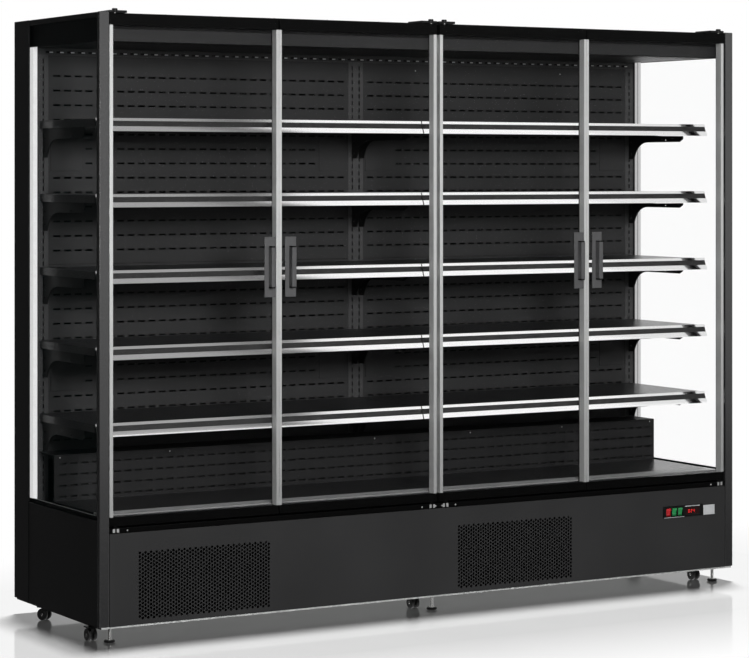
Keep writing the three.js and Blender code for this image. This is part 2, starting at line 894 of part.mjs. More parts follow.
// Swivelling fork: stem, crown, a hood over the wheels and the web that carries the axle.
function castorFork() {
  const crownTop = trayUnder - fitGap;
  const hoodSide = castorWeb / 2 + wheelWidth;
  const web = [
    [-crownRadius / 2, hoodBottom + 1],
    [wheelTrail - wheelRadius / 3, wheelRadius / 2],
    [wheelTrail + wheelRadius / 3, wheelRadius / 2],
    [wheelTrail + wheelRadius / 2, hoodBottom + 1],
  ];
  const hood = slab(
    [-hoodSide, hoodSide],
    [-crownRadius, wheelTrail + wheelRadius],
    [hoodBottom, hoodBottom + hoodThickness],
  );
  const boreRim = polygon(axleRadius + 2 * fitGap, 12, [wheelTrail, wheelRadius]);
  const bore = prismX(boreRim, [-castorWeb, castorWeb]);
  return cut(
    join(
      postZ(castorStemRadius, 12, [0, 0], [hoodBottom, trayTop - fitGap]),
      postZ(crownRadius, 16, [0, 0], [hoodBottom, crownTop]),
      hood,
      prismX(web, [-castorWeb / 2, castorWeb / 2]),
    ),
    bore,
  );
}

// Two discs on one axle. Each disc has a flat side down, so the castor stands on a face.
function castorWheel() {
  const sides = 20;
  const corner = wheelRadius / Math.cos(Math.PI / sides);
  const disc = polygon(corner, sides, [wheelTrail, wheelRadius]);
  const near = castorWeb / 2 + fitGap;
  const far = near + wheelWidth;
  return join(
    prismX(disc, [near, far]),
    prismX(disc, [-far, -near]),
    prismX(polygon(axleRadius, 12, [wheelTrail, wheelRadius]), [-far - axleOverhang, far + axleOverhang]),
  );
}

// ---- refrigeration ----

// A finned block: a base bar with fins, points (x, z).
function fins([x0, x1], [z0, z1], count, fin) {
  const pitch = (x1 - x0 - fin) / (count - 1);
  const teeth = Array.from({ length: count }, (_, i) => {
    const left = x0 + i * pitch;
    return [
      [left, z0 + finBar],
      [left, z1],
      [left + fin, z1],
      [left + fin, z0 + finBar],
    ];
  });
  const upper = teeth.flat().slice(1, -1);
  return [[x0, z0], ...upper, [x1, z0]];
}

function evaporatorCoil() {
  const halfWidth = linerX - coilMargin;
  const z = [liningBottom, plenumTop - sheet - coilTopGap];
  const profile = fins([-halfWidth, halfWidth], z, coilFins, coilFin);
  return prismY(profile, [plenumY + coilSideGap, ductY - coilSideGap]);
}

// Base plate, condenser, fan shroud, fan motor on its strut and the compressor.
function condensingUnit() {
  const x = [unitX0, unitX1];
  const deckZ = unitFloor + unitBase;
  const top = deckZ + condenserHeight;
  const plate = slab(x, [unitFrontY, rearWallY - unitBackGap], [unitFloor, deckZ]);
  const condenser = prismY(fins(x, [deckZ - 1, top], condenserFins, condenserFin), [
    unitFrontY,
    unitFrontY + condenserDepth,
  ]);
  const orifice = polygon(fanRadius + fanTipGap, 24, [fanX, fanZ]);
  const shroudSpan = [shroudY - shroudPlate, shroudY];
  const shroud = punched(prismY, rectangle(x, [unitFloor, top]), shroudSpan, [orifice]);
  const wall = (x0) => slab([x0, x0 + shroudPlate], [unitFrontY, shroudY], [unitFloor, top]);
  const motor = prismY(polygon(motorRadius, 16, [fanX, fanZ]), [motorY, motorY + motorLength]);
  const bearing = prismY(polygon(fanShaftRadius + 2 * fitGap, 12, [fanX, fanZ]), [
    motorY - 1,
    fanY + fanWidth / 2 + fanShaftLength + 1,
  ]);
  const strutY = motorY + motorStrutBack;
  const strut = slab(
    [fanX - motorStrut / 2, fanX + motorStrut / 2],
    [strutY, strutY + motorStrut],
    [unitFloor, fanZ - motorRadius / 2],
  );
  const dome = [
    [0, unitFloor],
    [compressorRadius, unitFloor],
    [compressorRadius, unitFloor + compressorHeight - compressorDome],
    [compressorCrownRadius, unitFloor + compressorHeight - compressorCrown],
    [0, unitFloor + compressorHeight],
  ];
  const compressor = new THREE.LatheGeometry(
    dome.map(([r, z]) => new THREE.Vector2(r, z)),
    16,
  )
    .rotateX(Math.PI / 2)
    .translate(fanX, motorY + motorLength + compressorGap + compressorRadius, 0);
  const walls = [wall(x[0]), wall(x[1] - shroudPlate)];
  return cut(join(plate, condenser, shroud, ...walls, strut, motor, solid(compressor)), bearing);
}

// Axial fan about its own shaft, which lies along Y.
function condenserFan() {
  const hub = prismY(polygon(fanHubRadius, 12), [-fanWidth / 2, fanWidth / 2]);
  const shaft = prismY(polygon(fanShaftRadius, 12), [0, fanWidth / 2 + fanShaftLength]);
  const blades = Array.from({ length: fanBlades }, (_, i) => {
    const blade = new THREE.BoxGeometry(fanRadius - fanHubRadius / 2, bladeThickness, bladeChord);
    blade.rotateX(THREE.MathUtils.degToRad(bladePitch));
    blade.translate((fanRadius + fanHubRadius / 2) / 2 - 2, 0, 0);
    blade.rotateY((i / fanBlades) * 2 * Math.PI);
    return solid(blade);
  });
  return join(hub, shaft, ...blades);
}

// ---- finishes ----

const blackPaint = finish(0x1b1b1b, 0.5);
const postPaint = finish(0x3c3c3c, 0.45);
const kickPaint = finish(0x333333, 0.5);
const ductPaint = finish(0x2b2b2b, 0.6);
const silver = finish(0xb4b6b4, 0.3, 1);
const galvanised = finish(0xa8aaa8, 0.45, 1);
const glass = finish(0xe8f6f4, 0.05, 0, 0.25);
const handlePlastic = finish(0x5a5a5a, 0.5);
const blackPlastic = finish(0x101010, 0.4);
const redPlastic = finish(0xb81424, 0.3);
const greenPlastic = finish(0x148c46, 0.3);
const grilleMetal = finish(0x767878, 0.45, 0.6);
const rubber = finish(0x161616, 0.7);

// ---- the assembly ----

addMesh("base_chassis", baseChassis(), galvanised);
addMesh("kick_panel", kickPanel(), kickPaint);
addMesh("end_frame_left", endFrame(-1), postPaint);
addMesh("end_frame_right", endFrame(1), postPaint);
addMesh("end_glass_left", endGlass(-1), glass);
addMesh("end_glass_right", endGlass(1), glass);
addMesh("rear_wall", rearWall(), blackPaint);
addMesh("roof_canopy", roofCanopy(), blackPaint);
addMesh("base_tub", baseTub(), blackPaint);
addMesh("bottom_hinge_rail", bottomHingeRail(), blackPaint);
addMesh("duct_panel_left", ductPanel(-1), ductPaint);
addMesh("duct_panel_right", ductPanel(1), ductPaint);
addMesh("plenum_cover", plenumCover(), ductPaint);
addMesh("return_grille", returnGrille(), grilleMetal);
addMesh("base_deck", baseDeck(), ductPaint);
addMesh("upright_left", upright([-linerX, -sideUprightX], [-sideSlotX]), blackPaint);
addMesh(
  "upright_centre",
  upright([-uprightWidth / 2, uprightWidth / 2], [-slotSpread, slotSpread]),
  blackPaint,
);
addMesh("upright_right", upright([sideUprightX, linerX], [sideSlotX]), blackPaint);

shelfTops.forEach((top, i) => {
  addMesh("shelf_left_" + (i + 1), shelf(-1, top), blackPaint);
  addMesh("shelf_right_" + (i + 1), shelf(1, top), blackPaint);
});

doorHinges.forEach(({ edge, sign }, i) => {
  const door = new THREE.Group();
  door.position.set(edge, frontY, 0);
  cabinet.add(door);
  addMesh("door_" + (i + 1) + "_glass", doorGlass(sign), glass, door);
  addMesh("door_" + (i + 1) + "_frame", doorFrame(sign), silver, door);
  addMesh("door_" + (i + 1) + "_handle", doorHandle(sign), handlePlastic, door);
});

castorSpots.forEach(({ x, y, turn }, i) => {
  const castor = new THREE.Group();
  castor.position.set(x, y, 0);
  castor.rotation.z = THREE.MathUtils.degToRad(turn);
  cabinet.add(castor);
  addMesh("castor_fork_" + castorNames[i], castorFork(), blackPlastic, castor);
  addMesh("castor_wheel_" + castorNames[i], castorWheel(), rubber, castor);
});

footXs.forEach((x, i) => {
  addMesh("levelling_foot_" + footNames[i], levellingFoot(), galvanised).position.set(x, footY, 0);
});

addMesh("control_panel", controlPanel(), blackPlastic);
rockerXs.forEach((x, i) => {
  const button = addMesh("rocker_switch_" + (i + 1), rocker(), i === 0 ? redPlastic : greenPlastic);
  button.position.set(x, rockerY, rockerZ);
  button.rotation.x = THREE.MathUtils.degToRad(rockerTilt);
});

addMesh("evaporator_coil", evaporatorCoil(), galvanised);
addMesh("condensing_unit", condensingUnit(), blackPaint);
addMesh("condenser_fan", condenserFan(), blackPlastic).position.set(fanX, fanY, fanZ);

export default cabinet;
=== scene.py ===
"""Looks of a plug-in multideck display fridge with four glass doors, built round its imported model.

Lengths are written in millimetres here, and each mesh is brought to metres as it is made.
"""

import math

import bmesh
import bpy
from mathutils import Matrix, Vector


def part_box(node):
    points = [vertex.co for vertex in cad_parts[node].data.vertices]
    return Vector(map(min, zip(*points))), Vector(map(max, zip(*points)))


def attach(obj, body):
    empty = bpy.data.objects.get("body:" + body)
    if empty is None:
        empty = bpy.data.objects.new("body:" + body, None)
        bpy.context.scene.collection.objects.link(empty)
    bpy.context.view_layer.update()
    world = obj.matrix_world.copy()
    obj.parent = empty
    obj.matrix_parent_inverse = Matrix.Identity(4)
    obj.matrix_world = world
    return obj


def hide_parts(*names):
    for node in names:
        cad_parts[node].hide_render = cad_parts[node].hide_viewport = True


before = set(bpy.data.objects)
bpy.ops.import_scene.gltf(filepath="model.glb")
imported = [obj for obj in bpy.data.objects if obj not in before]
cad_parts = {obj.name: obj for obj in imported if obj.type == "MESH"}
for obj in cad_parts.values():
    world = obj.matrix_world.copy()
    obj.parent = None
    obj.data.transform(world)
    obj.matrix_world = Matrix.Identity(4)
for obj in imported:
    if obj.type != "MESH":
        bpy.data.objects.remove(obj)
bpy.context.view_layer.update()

MM = 0.001


def spans(node):
    """A node's extent along X, Y and Z, in millimetres."""
    low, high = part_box(node)
    return [(a / MM, b / MM) for a, b in zip(low, high)]


def mid(span):
    """The middle of a span."""
    return (span[0] + span[1]) / 2


def within(span, margin):
    """A span made shorter at both ends."""
    return (span[0] + margin, span[1] - margin)


def around(centre, length):
    """The span of a length about its centre."""
    return (centre - length / 2, centre + length / 2)


def both_ends(span, width):
    """The two spans of a width at the ends of a span."""
    return (span[0], span[0] + width), (span[1] - width, span[1])


def beside(edge, way, far, near=0):
    """The span from near to far of an edge, on the side that the way gives: 1 or -1."""
    return sorted((edge + way * near, edge + way * far))


def evenly(low, high, count):
    """That many places, from low to high."""
    return [low + (high - low) * i / (count - 1) for i in range(count)]


def added(name, data):
    """An object in the scene, made of its data."""
    made = bpy.data.objects.new(name, data)
    bpy.context.scene.collection.objects.link(made)
    return made


# ---- node trees ----


class Wire:
    """An output in a node tree. A sum on wires and numbers adds the Math nodes for it."""

    def __init__(self, net, socket):
        self.net = net
        self.socket = socket

    def __add__(self, other):
        return self.net.math("ADD", self, other)

    def __radd__(self, other):
        return self.net.math("ADD", other, self)

    def __sub__(self, other):
        return self.net.math("SUBTRACT", self, other)

    def __rsub__(self, other):
        return self.net.math("SUBTRACT", other, self)

    def __mul__(self, other):
        return self.net.math("MULTIPLY", self, other)

    def __rmul__(self, other):
        return self.net.math("MULTIPLY", other, self)


class Node:
    """A node whose outputs are read by name or number."""

    def __init__(self, net, made):
        self.net = net
        self.made = made

    def __getitem__(self, key):
        return Wire(self.net, self.made.outputs[key])


class Net:
    """A node tree, and the one way that nodes get into it."""

    def __init__(self, tree):
        self.tree = tree

    def node(self, kind, settings=None, inputs=None):
        """Adds a node, with its settings and what its inputs are fed with."""
        made = self.tree.nodes.new(kind)
        for name, value in (settings or {}).items():
            if name == "stops":
                self.set_stops(made.color_ramp, value)
            else:
                setattr(made, name, value)
        for key, value in (inputs or {}).items():
            self.feed(made.inputs[key], value)
        return Node(self, made)

    def feed(self, socket, value):
        """Links a wire to a socket, or sets the socket's value."""
        if isinstance(value, Wire):
            self.tree.links.new(value.socket, socket)
        else:
            socket.default_value = value

    def set_stops(self, ramp, stops):
        """Gives a colour ramp grey stops: (position, level)."""
        while len(ramp.elements) < len(stops):
            ramp.elements.new(1.0)
        for element, (position, level) in zip(ramp.elements, stops):
            element.position = position
            element.color = (level, level, level, 1.0)

    def math(self, operation, *values):
        """The result of a Math node."""
        settings = {"operation": operation}
        return self.node("ShaderNodeMath", settings, dict(enumerate(values)))[0]

    def join(self, *parts):
        """Geometry joined in the order given."""
        joined = self.node("GeometryNodeJoinGeometry")
        for part in parts:
            self.feed(joined.made.inputs[0], part)
        return joined[0]


class Finish(Net):
    """A material with one Principled shader, and the record's slot that it stands for."""

    def __init__(self, name, slot, colour=(0.5, 0.5, 0.5), **shader):
        self.slot = slot
        self.material = bpy.data.materials.new(name)
        self.material.use_nodes = True
        super().__init__(self.material.node_tree)
        self.tree.nodes.clear()
        self.colour = (*colour, 1.0)
        self.shader = self.node("ShaderNodeBsdfPrincipled", None, {"Base Color": self.colour})
        self.output = self.node("ShaderNodeOutputMaterial", None, {"Surface": self.shader[0]})
        for label, value in shader.items():
            self.set(label.replace("_", " "), value)

    def set(self, label, value):
        """Feeds the shader's socket of that name."""
        for socket in self.shader.made.inputs:
            if socket.name.lower() == label.lower():
                self.feed(socket, value)
                return
        raise KeyError(label)

    def position(self, scale=(1, 1, 1)):
        """Object coordinates in metres, stretched by a scale."""
        coordinate = self.node("ShaderNodeTexCoord")["Object"]
        inputs = {"Vector": coordinate, "Scale": scale}
        return self.node("ShaderNodeMapping", {"vector_type": "POINT"}, inputs)[0]

    def along(self, axis):
        """One object coordinate, in metres."""
        coordinate = self.node("ShaderNodeTexCoord")["Object"]
        return self.node("ShaderNodeSeparateXYZ", None, {0: coordinate})[axis]

    def noise(self, per_metre, stretch=(1, 1, 1), detail=2.0, low=0.3, high=0.7):
        """Noise with that many cells in a metre, spread from 0 to 1 between two levels."""
        scale = [per_metre * s for s in stretch]
        inputs = {"Vector": self.position(scale), "Scale": 1.0, "Detail": detail}
        cloud = self.node("ShaderNodeTexNoise", None, inputs)[0]
        return self.ramp(cloud, low, high)

    def ramp(self, value, start, end, low=0.0, high=1.0):
        """A value taken from start to end, mapped from low to high and held there."""
        inputs = {"Value": value, 1: start, 2: end, 3: low, 4: high}
        return self.node("ShaderNodeMapRange", {"clamp": True}, inputs)[0]

    def blend(self, factor, first, second):
        """A colour between two colours."""
        inputs = {0: factor, 6: first, 7: second}
        return self.node("ShaderNodeMix", {"data_type": "RGBA"}, inputs)[2]

    def shade(self, factor, low, high):
        """The finish's own colour times low where the factor is 0, and times high where it is 1."""
        dark, light = ([c * k for c in self.colour[:3]] + [1.0] for k in (low, high))
        return self.blend(factor, dark, light)

    def relief(self, height, depth):
        """Sets a bump of that depth in millimetres."""
        inputs = {"Height": height, "Distance": depth * MM, "Strength": 1.0}
        self.set("Normal", self.node("ShaderNodeBump", None, inputs)[0])


# Grain: its depth in millimetres, and how many cells, lines or spangles go to a metre.
PEEL_DEPTH, PEEL_CELLS = 0.02, 700
GRAIN_CELLS = 1200
DRAWN_LINES = 900
SPANGLE_DEPTH, SPANGLES = 0.02, 110.0
ZINC_ROUGHNESS = 0.42
PANE_GLOSS = 0.3


def powder_coat(name, slot, colour, roughness=0.45, gloss=0.15):
    """Powder-coated sheet steel: a fine orange peel and a faint cloudiness."""
    paint = Finish(name, slot, colour, roughness=roughness, specular_ior_level=gloss)
    peel = paint.noise(PEEL_CELLS, detail=3.0)
    cloud = paint.noise(2.5)
    paint.set("base color", paint.shade(cloud, 0.88, 1.12))
    paint.set("roughness", paint.ramp(peel, 0, 1, roughness - 0.05, roughness + 0.05))
    paint.relief(peel, PEEL_DEPTH)
    return paint


def drawn_metal(name, slot, colour, roughness, stretch, line=0.06, metallic=1.0):
    """Extruded or brushed metal, with lines drawn along its length."""
    metal = Finish(name, slot, colour, roughness=roughness, metallic=metallic)
    lines = metal.noise(DRAWN_LINES, stretch, low=0.25, high=0.75)
    smear = metal.noise(5)
    metal.set("base color", metal.shade(lines, 1 - line, 1 + line))
    worn = lines * 0.6 + smear * 0.4
    metal.set("roughness", metal.ramp(worn, 0, 1, roughness * 0.85, roughness * 1.2))
    metal.relief(lines, roughness * 0.02)
    return metal


def moulded(name, slot, colour, roughness, gloss=0.4, grain=0.03):
    """Moulded plastic with a spark-eroded grain."""
    plastic = Finish(name, slot, colour, roughness=roughness, specular_ior_level=gloss)
    pits = plastic.noise(GRAIN_CELLS)
    haze = plastic.noise(40)
    plastic.set("base color", plastic.shade(haze, 0.92, 1.08))
    plastic.set("roughness", plastic.ramp(pits, 0, 1, roughness - 0.04, roughness + 0.06))
    plastic.relief(pits, grain)
    return plastic


def spangled(name, slot, colour):
    """Hot-dip galvanised steel with zinc spangles about 9 mm across."""
    roughness = ZINC_ROUGHNESS
    zinc = Finish(name, slot, colour, metallic=0.25, roughness=roughness, specular_ior_level=0.3)
    inputs = {"Vector": zinc.position(), "Scale": SPANGLES}
    cell = zinc.node("ShaderNodeTexVoronoi", {"feature": "F1"}, inputs)["Color"]
    tone = zinc.node("ShaderNodeSeparateColor", None, {0: cell})[0]
    zinc.set("base color", zinc.shade(tone, 0.8, 1.1))
    zinc.set("roughness", zinc.ramp(tone, 0, 1, roughness - 0.08, roughness + 0.1))
    zinc.relief(zinc.noise(400), SPANGLE_DEPTH)
    return zinc


def pane(name, slot, colour, alpha):
    """Clear glass, drawn as a faint tinted film with a trace of cleaning haze."""
    glass = Finish(name, slot, colour, roughness=0.02, specular_ior_level=PANE_GLOSS)
    haze = glass.noise(6)
    glass.set("alpha", glass.ramp(haze, 0, 1, alpha * 0.9, alpha * 1.1))
    glass.set("roughness", glass.ramp(haze, 0, 1, 0.01, 0.04))
    return glass


# How lines that run along X, or along Z, stretch the noise; the coarse ones are brushed.
DRAWN_X, DRAWN_Z = (0.004, 1, 1), (1, 1, 0.004)
BRUSHED_X, BRUSHED_Z = (0.01, 1, 1), (1, 1, 0.01)

black_paint = powder_coat("black_paint", "black_paint", (0.008, 0.008, 0.0082), 0.4, 0.1)
post_paint = powder_coat("post_paint", "post_paint", (0.02, 0.02, 0.0205), 0.24, 0.85)
# The posts' paint made darker for the ends' sides and rear posts: painted shade, as on the side away
# from the lamps.
side_paint = powder_coat("side_paint", "post_paint", (0.009, 0.009, 0.0092), 0.4, 0.04)
kick_paint = powder_coat("kick_paint", "kick_paint", (0.036, 0.036, 0.0365), 0.45, 0.03)
duct_paint = powder_coat("duct_paint", "duct_paint", (0.034, 0.034, 0.0345), 0.5, 0.1)
plenum_paint = powder_coat("plenum_paint", "duct_paint", (0.02, 0.02, 0.0205), 0.5, 0.1)
fascia_paint = powder_coat("fascia_paint", "duct_paint", (0.024, 0.024, 0.0245), 0.4, 0.15)
# A pale copy of the duct paint, for the highlights painted into the strip's slots.
tip_paint = powder_coat("tip_paint", "duct_paint", (0.5, 0.5, 0.5), 0.3, 0.3)
shelf_paint = powder_coat("shelf_paint", "shelf_paint", (0.014, 0.014, 0.0145), 0.3, 0.3)
upright_paint = powder_coat("upright_paint", "black_paint", (0.055, 0.055, 0.056), 0.45, 0.2)
print_black = moulded("glass_print", "black_paint", (0.002, 0.002, 0.002), 0.3, 0.04, 0.002)
duct_edge_paint = powder_coat("duct_edge_paint", "duct_paint", (0.045, 0.045, 0.046))
deck_paint = powder_coat("deck_paint", "duct_paint", (0.02, 0.02, 0.0205), 0.28, 0.35)
silver = drawn_metal(
    "silver_profile", "silver_profile", (0.56, 0.565, 0.56), 0.3, DRAWN_Z, 0.04, 0.75
)
satin = drawn_metal("satin_web", "silver_profile", (0.42, 0.424, 0.42), 0.4, DRAWN_Z, 0.04, 0.1)
rail_silver = drawn_metal(
    "ticket_rail_silver", "silver_profile", (0.95, 0.95, 0.95), 0.09, DRAWN_X, 0.02
)
grille_metal = drawn_metal(
    "grille_metal", "grille_metal", (0.4, 0.405, 0.405), 0.45, BRUSHED_X, metallic=0.3
)
galvanised = spangled("galvanised", "galvanised", (0.6, 0.61, 0.6))
coil_aluminium = drawn_metal(
    "coil_aluminium", "coil_aluminium", (0.6, 0.6, 0.6), 0.4, BRUSHED_Z
)
handle_plastic = moulded("handle_plastic", "handle_plastic", (0.08, 0.08, 0.082), 0.45)
black_plastic = moulded("black_plastic", "black_plastic", (0.006, 0.006, 0.006), 0.35, 0.1)
ticket_black = moulded("ticket_strip", "black_plastic", (0.02, 0.02, 0.02), 0.4, 0.3, 0.005)
lens_plastic = moulded("display_lens", "black_plastic", (0.02, 0.004, 0.004), 0.12, 0.5, 0.002)
wheel_plastic = moulded("castor_wheel", "castor_wheel", (0.012, 0.012, 0.012), 0.5, 0.25)
foot_steel = drawn_metal("foot_steel", "foot_steel", (0.62, 0.62, 0.61), 0.25, (1, 1, 1))
# The spacer between the end panes is grey plastic with a glow that is no lamp: painted light that
# keeps it white in the shade of the cabinet's rear corner.
glowing_spacer = moulded("spacer", "silver_profile", (0.45, 0.455, 0.455), 0.5, 0.2, 0.005)
glowing_spacer.set("emission color", (1.0, 1.0, 1.0, 1.0))
glowing_spacer.set("emission strength", 0.5)
red_plastic = moulded("red_plastic", "red_plastic", (0.55, 0.006, 0.012), 0.25, 0.5, 0.005)
green_plastic = moulded("green_plastic", "green_plastic", (0.008, 0.27, 0.07), 0.25, 0.5, 0.005)
white_plastic = moulded("white_plastic", "black_plastic", (0.62, 0.63, 0.64), 0.35, 0.3, 0.005)
door_glass = pane("door_glass", "door_glass", (0.02, 0.021, 0.021), 0.004)
end_glass = pane("end_glass", "end_glass", (0.03, 0.10, 0.10), 0.005)
lit_digit = Finish("lit_digit", "red_plastic", (0.5, 0.01, 0.01), roughness=0.4)
lit_digit.set("emission color", lit_digit.shade(lit_digit.noise(900), 1.6, 2.0))
lit_digit.set("emission strength", 1.0)


# ---- shapes ----

AXES = {"x": (1, 2, 0), "y": (0, 2, 1), "z": (0, 1, 2)}
OUTWARD = {
    "front": (0, -1, 0),
    "back": (0, 1, 0),
    "left": (-1, 0, 0),
    "right": (1, 0, 0),
    "up": (0, 0, 1),
}
SOFT_EDGE = math.radians(21)
SHARP_EDGE = math.radians(35)


def place(u, v, w, axis):
    """The point at (u, v) on a section across the axis, w along it."""
    point = [0.0, 0.0, 0.0]
    for value, index in zip((u, v, w), AXES[axis]):
        point[index] = value
    return point


def rectangle(u, v):
    """The corners of two spans."""
    return [(u[0], v[0]), (u[1], v[0]), (u[1], v[1]), (u[0], v[1])]


def circle(radius, sides, centre):
    """A regular polygon with a flat side to the right."""
    turns = (2 * math.pi * (i + 0.5) / sides for i in range(sides))
    return [(centre[0] + radius * math.cos(t), centre[1] + radius * math.sin(t)) for t in turns]


def facing(way, origin):
    """Turns what is drawn flat, as seen from +Z, to face that way from an origin in millimetres."""
    out = Vector(OUTWARD[way])
    up = Vector((0, 1, 0)) if out.z else Vector((0, 0, 1))
    turn = Matrix((up.cross(out), up, out)).transposed().to_4x4()
    return Matrix.Translation(Vector(origin) * MM) @ turn


def soften(mesh, edges, width, profile=0.5):
    """Bevels edges in two steps, by a width in millimetres."""
    bmesh.ops.bevel(
        mesh,
        geom=edges,
        offset=width * MM,
        segments=2,
        profile=profile,
        affect="EDGES",
        clamp_overlap=True,
    )


class Form:
    """Closed shapes gathered in one mesh."""

    def __init__(self):
        self.mesh = bmesh.new()

    def skin(self, rings, bevel=0.0):
        """Joins rings of points, and caps the first and the last."""
        rows = [[self.mesh.verts.new(Vector(p) * MM) for p in ring] for ring in rings]
        faces = [self.mesh.faces.new(rows[0][::-1]), self.mesh.faces.new(rows[-1])]
        for lower, upper in zip(rows, rows[1:]):
            for i in range(len(lower)):
                faces.append(self.mesh.faces.new((lower[i - 1], lower[i], upper[i], upper[i - 1])))
        bmesh.ops.recalc_face_normals(self.mesh, faces=faces)
        if bevel:
            edges = {e for f in faces for e in f.edges}
            sharp = [e for e in edges if e.calc_face_angle(0.0) > SHARP_EDGE]
            soften(self.mesh, sharp, bevel)
        return self

    def prism(self, outline, axis, ends, bevel=0.0):
        """A section pushed along an axis: (y, z) along x, (x, z) along y, or (x, y) along z."""
        return self.skin([[place(u, v, w, axis) for u, v in outline] for w in ends], bevel)

    def slab(self, x, y, z, bevel=0.0):
        """A block that fills three spans."""
        return self.prism(rectangle(x, y), "z", z, bevel)

    def turned(self, profile, axis, centre, sides=20):
        """(radius, distance) pairs turned about an axis through the centre."""
        across, up, along = AXES[axis]
        rings = []
        for radius, distance in profile:
            origin = (centre[across], centre[up])
            ring = circle(radius, sides, origin)
            rings.append([place(u, v, centre[along] + distance, axis) for u, v in ring])
        return self.skin(rings)

    def absorb(self, mesh, matrix):
        """Adds a mesh that is in metres already, moved by a matrix."""
        moved = mesh.copy()
        moved.transform(matrix)
        self.mesh.from_mesh(moved)
        bpy.data.meshes.remove(moved)
        return self

    def turn(self, matrix):
        """Moves all that is in the form, by a matrix in metres."""
        bmesh.ops.transform(self.mesh, matrix=matrix, verts=self.mesh.verts)
        return self


def piece(name, form, finish, body="cabinet", replaces=()):
    """Makes an object of a form, on the body that it moves with."""
    mesh = bpy.data.meshes.new(name)
    form.mesh.to_mesh(mesh)
    form.mesh.free()
    mesh.shade_smooth()
    mesh.set_sharp_from_angle(angle=SOFT_EDGE)
    mesh.materials.clear()
    mesh.materials.append(finish.material)
    made = added(name, mesh)
    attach(made, body)
    if replaces:
        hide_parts(*replaces)
    return made


# ---- what repeats ----


def geometry_tree(name, inputs):
    """An empty geometry tree with named inputs."""
    tree = bpy.data.node_groups.new(name, "GeometryNodeTree")
    for label, kind in {"Geometry": "Geometry", **inputs, "Finish": "Material"}.items():
        tree.interface.new_socket(label, in_out="INPUT", socket_type="NodeSocket" + kind)
    tree.interface.new_socket("Geometry", in_out="OUTPUT", socket_type="NodeSocketGeometry")
    net = Net(tree)
    return net, net.node("NodeGroupInput")


def end_tree(net, given, geometry):
    """Ends a tree with plain geometry in its finish."""
    plain = net.node("GeometryNodeRealizeInstances", None, {0: geometry})[0]
    inputs = {"Geometry": plain, "Material": given["Finish"]}
    painted = net.node("GeometryNodeSetMaterial", None, inputs)[0]
    net.node("NodeGroupOutput", None, {0: painted})
    return net.tree


def punched_sheet_tree():
    """A sheet inside the drawn outlines, with a hole at each loose point."""
    inputs = {
        "Hole Width": "Float",
        "Hole Height": "Float",
        "Corner Radius": "Float",
        "Corner Points": "Int",
        "Round Sides": "Int",
        "Round": "Bool",
        "Thickness": "Float",
    }
    net, given = geometry_tree("punched_sheet", inputs)
    outline = net.node("GeometryNodeMeshToCurve", None, {0: given["Geometry"]})[0]
    size = {"Width": given["Hole Width"], "Height": given["Hole Height"]}
    slot = net.node("GeometryNodeCurvePrimitiveQuadrilateral", {"mode": "RECTANGLE"}, size)[0]
    corner = {
        "Curve": slot,
        "Count": given["Corner Points"],
        "Radius": given["Corner Radius"],
        "Limit Radius": True,
    }
    slot = net.node("GeometryNodeFilletCurve", {"mode": "POLY"}, corner)[0]
    bore = {"Resolution": given["Round Sides"], "Radius": given["Hole Width"] * 0.5}
    bore = net.node("GeometryNodeCurvePrimitiveCircle", {"mode": "RADIUS"}, bore)[0]
    choice = {"Switch": given["Round"], "False": slot, "True": bore}
    hole = net.node("GeometryNodeSwitch", {"input_type": "GEOMETRY"}, choice)[0]
    neighbours = net.node("GeometryNodeInputMeshVertexNeighbors")[0]
    same = {"data_type": "INT", "operation": "EQUAL"}
    loose = net.node("FunctionNodeCompare", same, {2: neighbours, 3: 0})[0]
    spots = {"Points": given["Geometry"], "Selection": loose, "Instance": hole}
    holes = net.node("GeometryNodeInstanceOnPoints", None, spots)[0]
    holes = net.node("GeometryNodeRealizeInstances", None, {0: holes})[0]
    lines = net.join(holes, outline)
    flat = net.node("GeometryNodeFillCurve", {"mode": "TRIANGLES"}, {0: lines})[0]
    pushed = {"Mesh": flat, "Offset Scale": given["Thickness"], "Individual": False}
    front = net.node("GeometryNodeExtrudeMesh", {"mode": "FACES"}, pushed)[0]
    back = net.node("GeometryNodeFlipFaces", None, {0: flat})[0]
    closed = {"Geometry": net.join(front, back), "Distance": 1e-6}
    closed = net.node("GeometryNodeMergeByDistance", None, closed)[0]
    return end_tree(net, given, closed)


def fastener_tree():
    """A low domed head on each point."""
    net, given = geometry_tree("fasteners", {"Radius": "Float", "Height": "Float", "Sides": "Int"})
    size = {
        "Vertices": given["Sides"],
        "Radius Top": given["Radius"] * 0.7,
        "Radius Bottom": given["Radius"],
        "Depth": given["Height"],
    }
    head = net.node("GeometryNodeMeshCone", None, size)[0]
    spots = {"Points": given["Geometry"], "Instance": head}
    heads = net.node("GeometryNodeInstanceOnPoints", None, spots)[0]
    return end_tree(net, given, heads)


def lip_tree():
    """A small bar on each point."""
    inputs = {"Length": "Float", "Height": "Float", "Proud": "Float"}
    net, given = geometry_tree("folded_lips", inputs)
    size = {0: given["Length"], 1: given["Height"], 2: given["Proud"]}
    size = net.node("ShaderNodeCombineXYZ", None, size)[0]
    bar = net.node("GeometryNodeMeshCube", None, {"Size": size})[0]
    spots = {"Points": given["Geometry"], "Instance": bar}
    bars = net.node("GeometryNodeInstanceOnPoints", None, spots)[0]
    return end_tree(net, given, bars)


PUNCHED = punched_sheet_tree()
FASTENERS = fastener_tree()
LIPS = lip_tree()


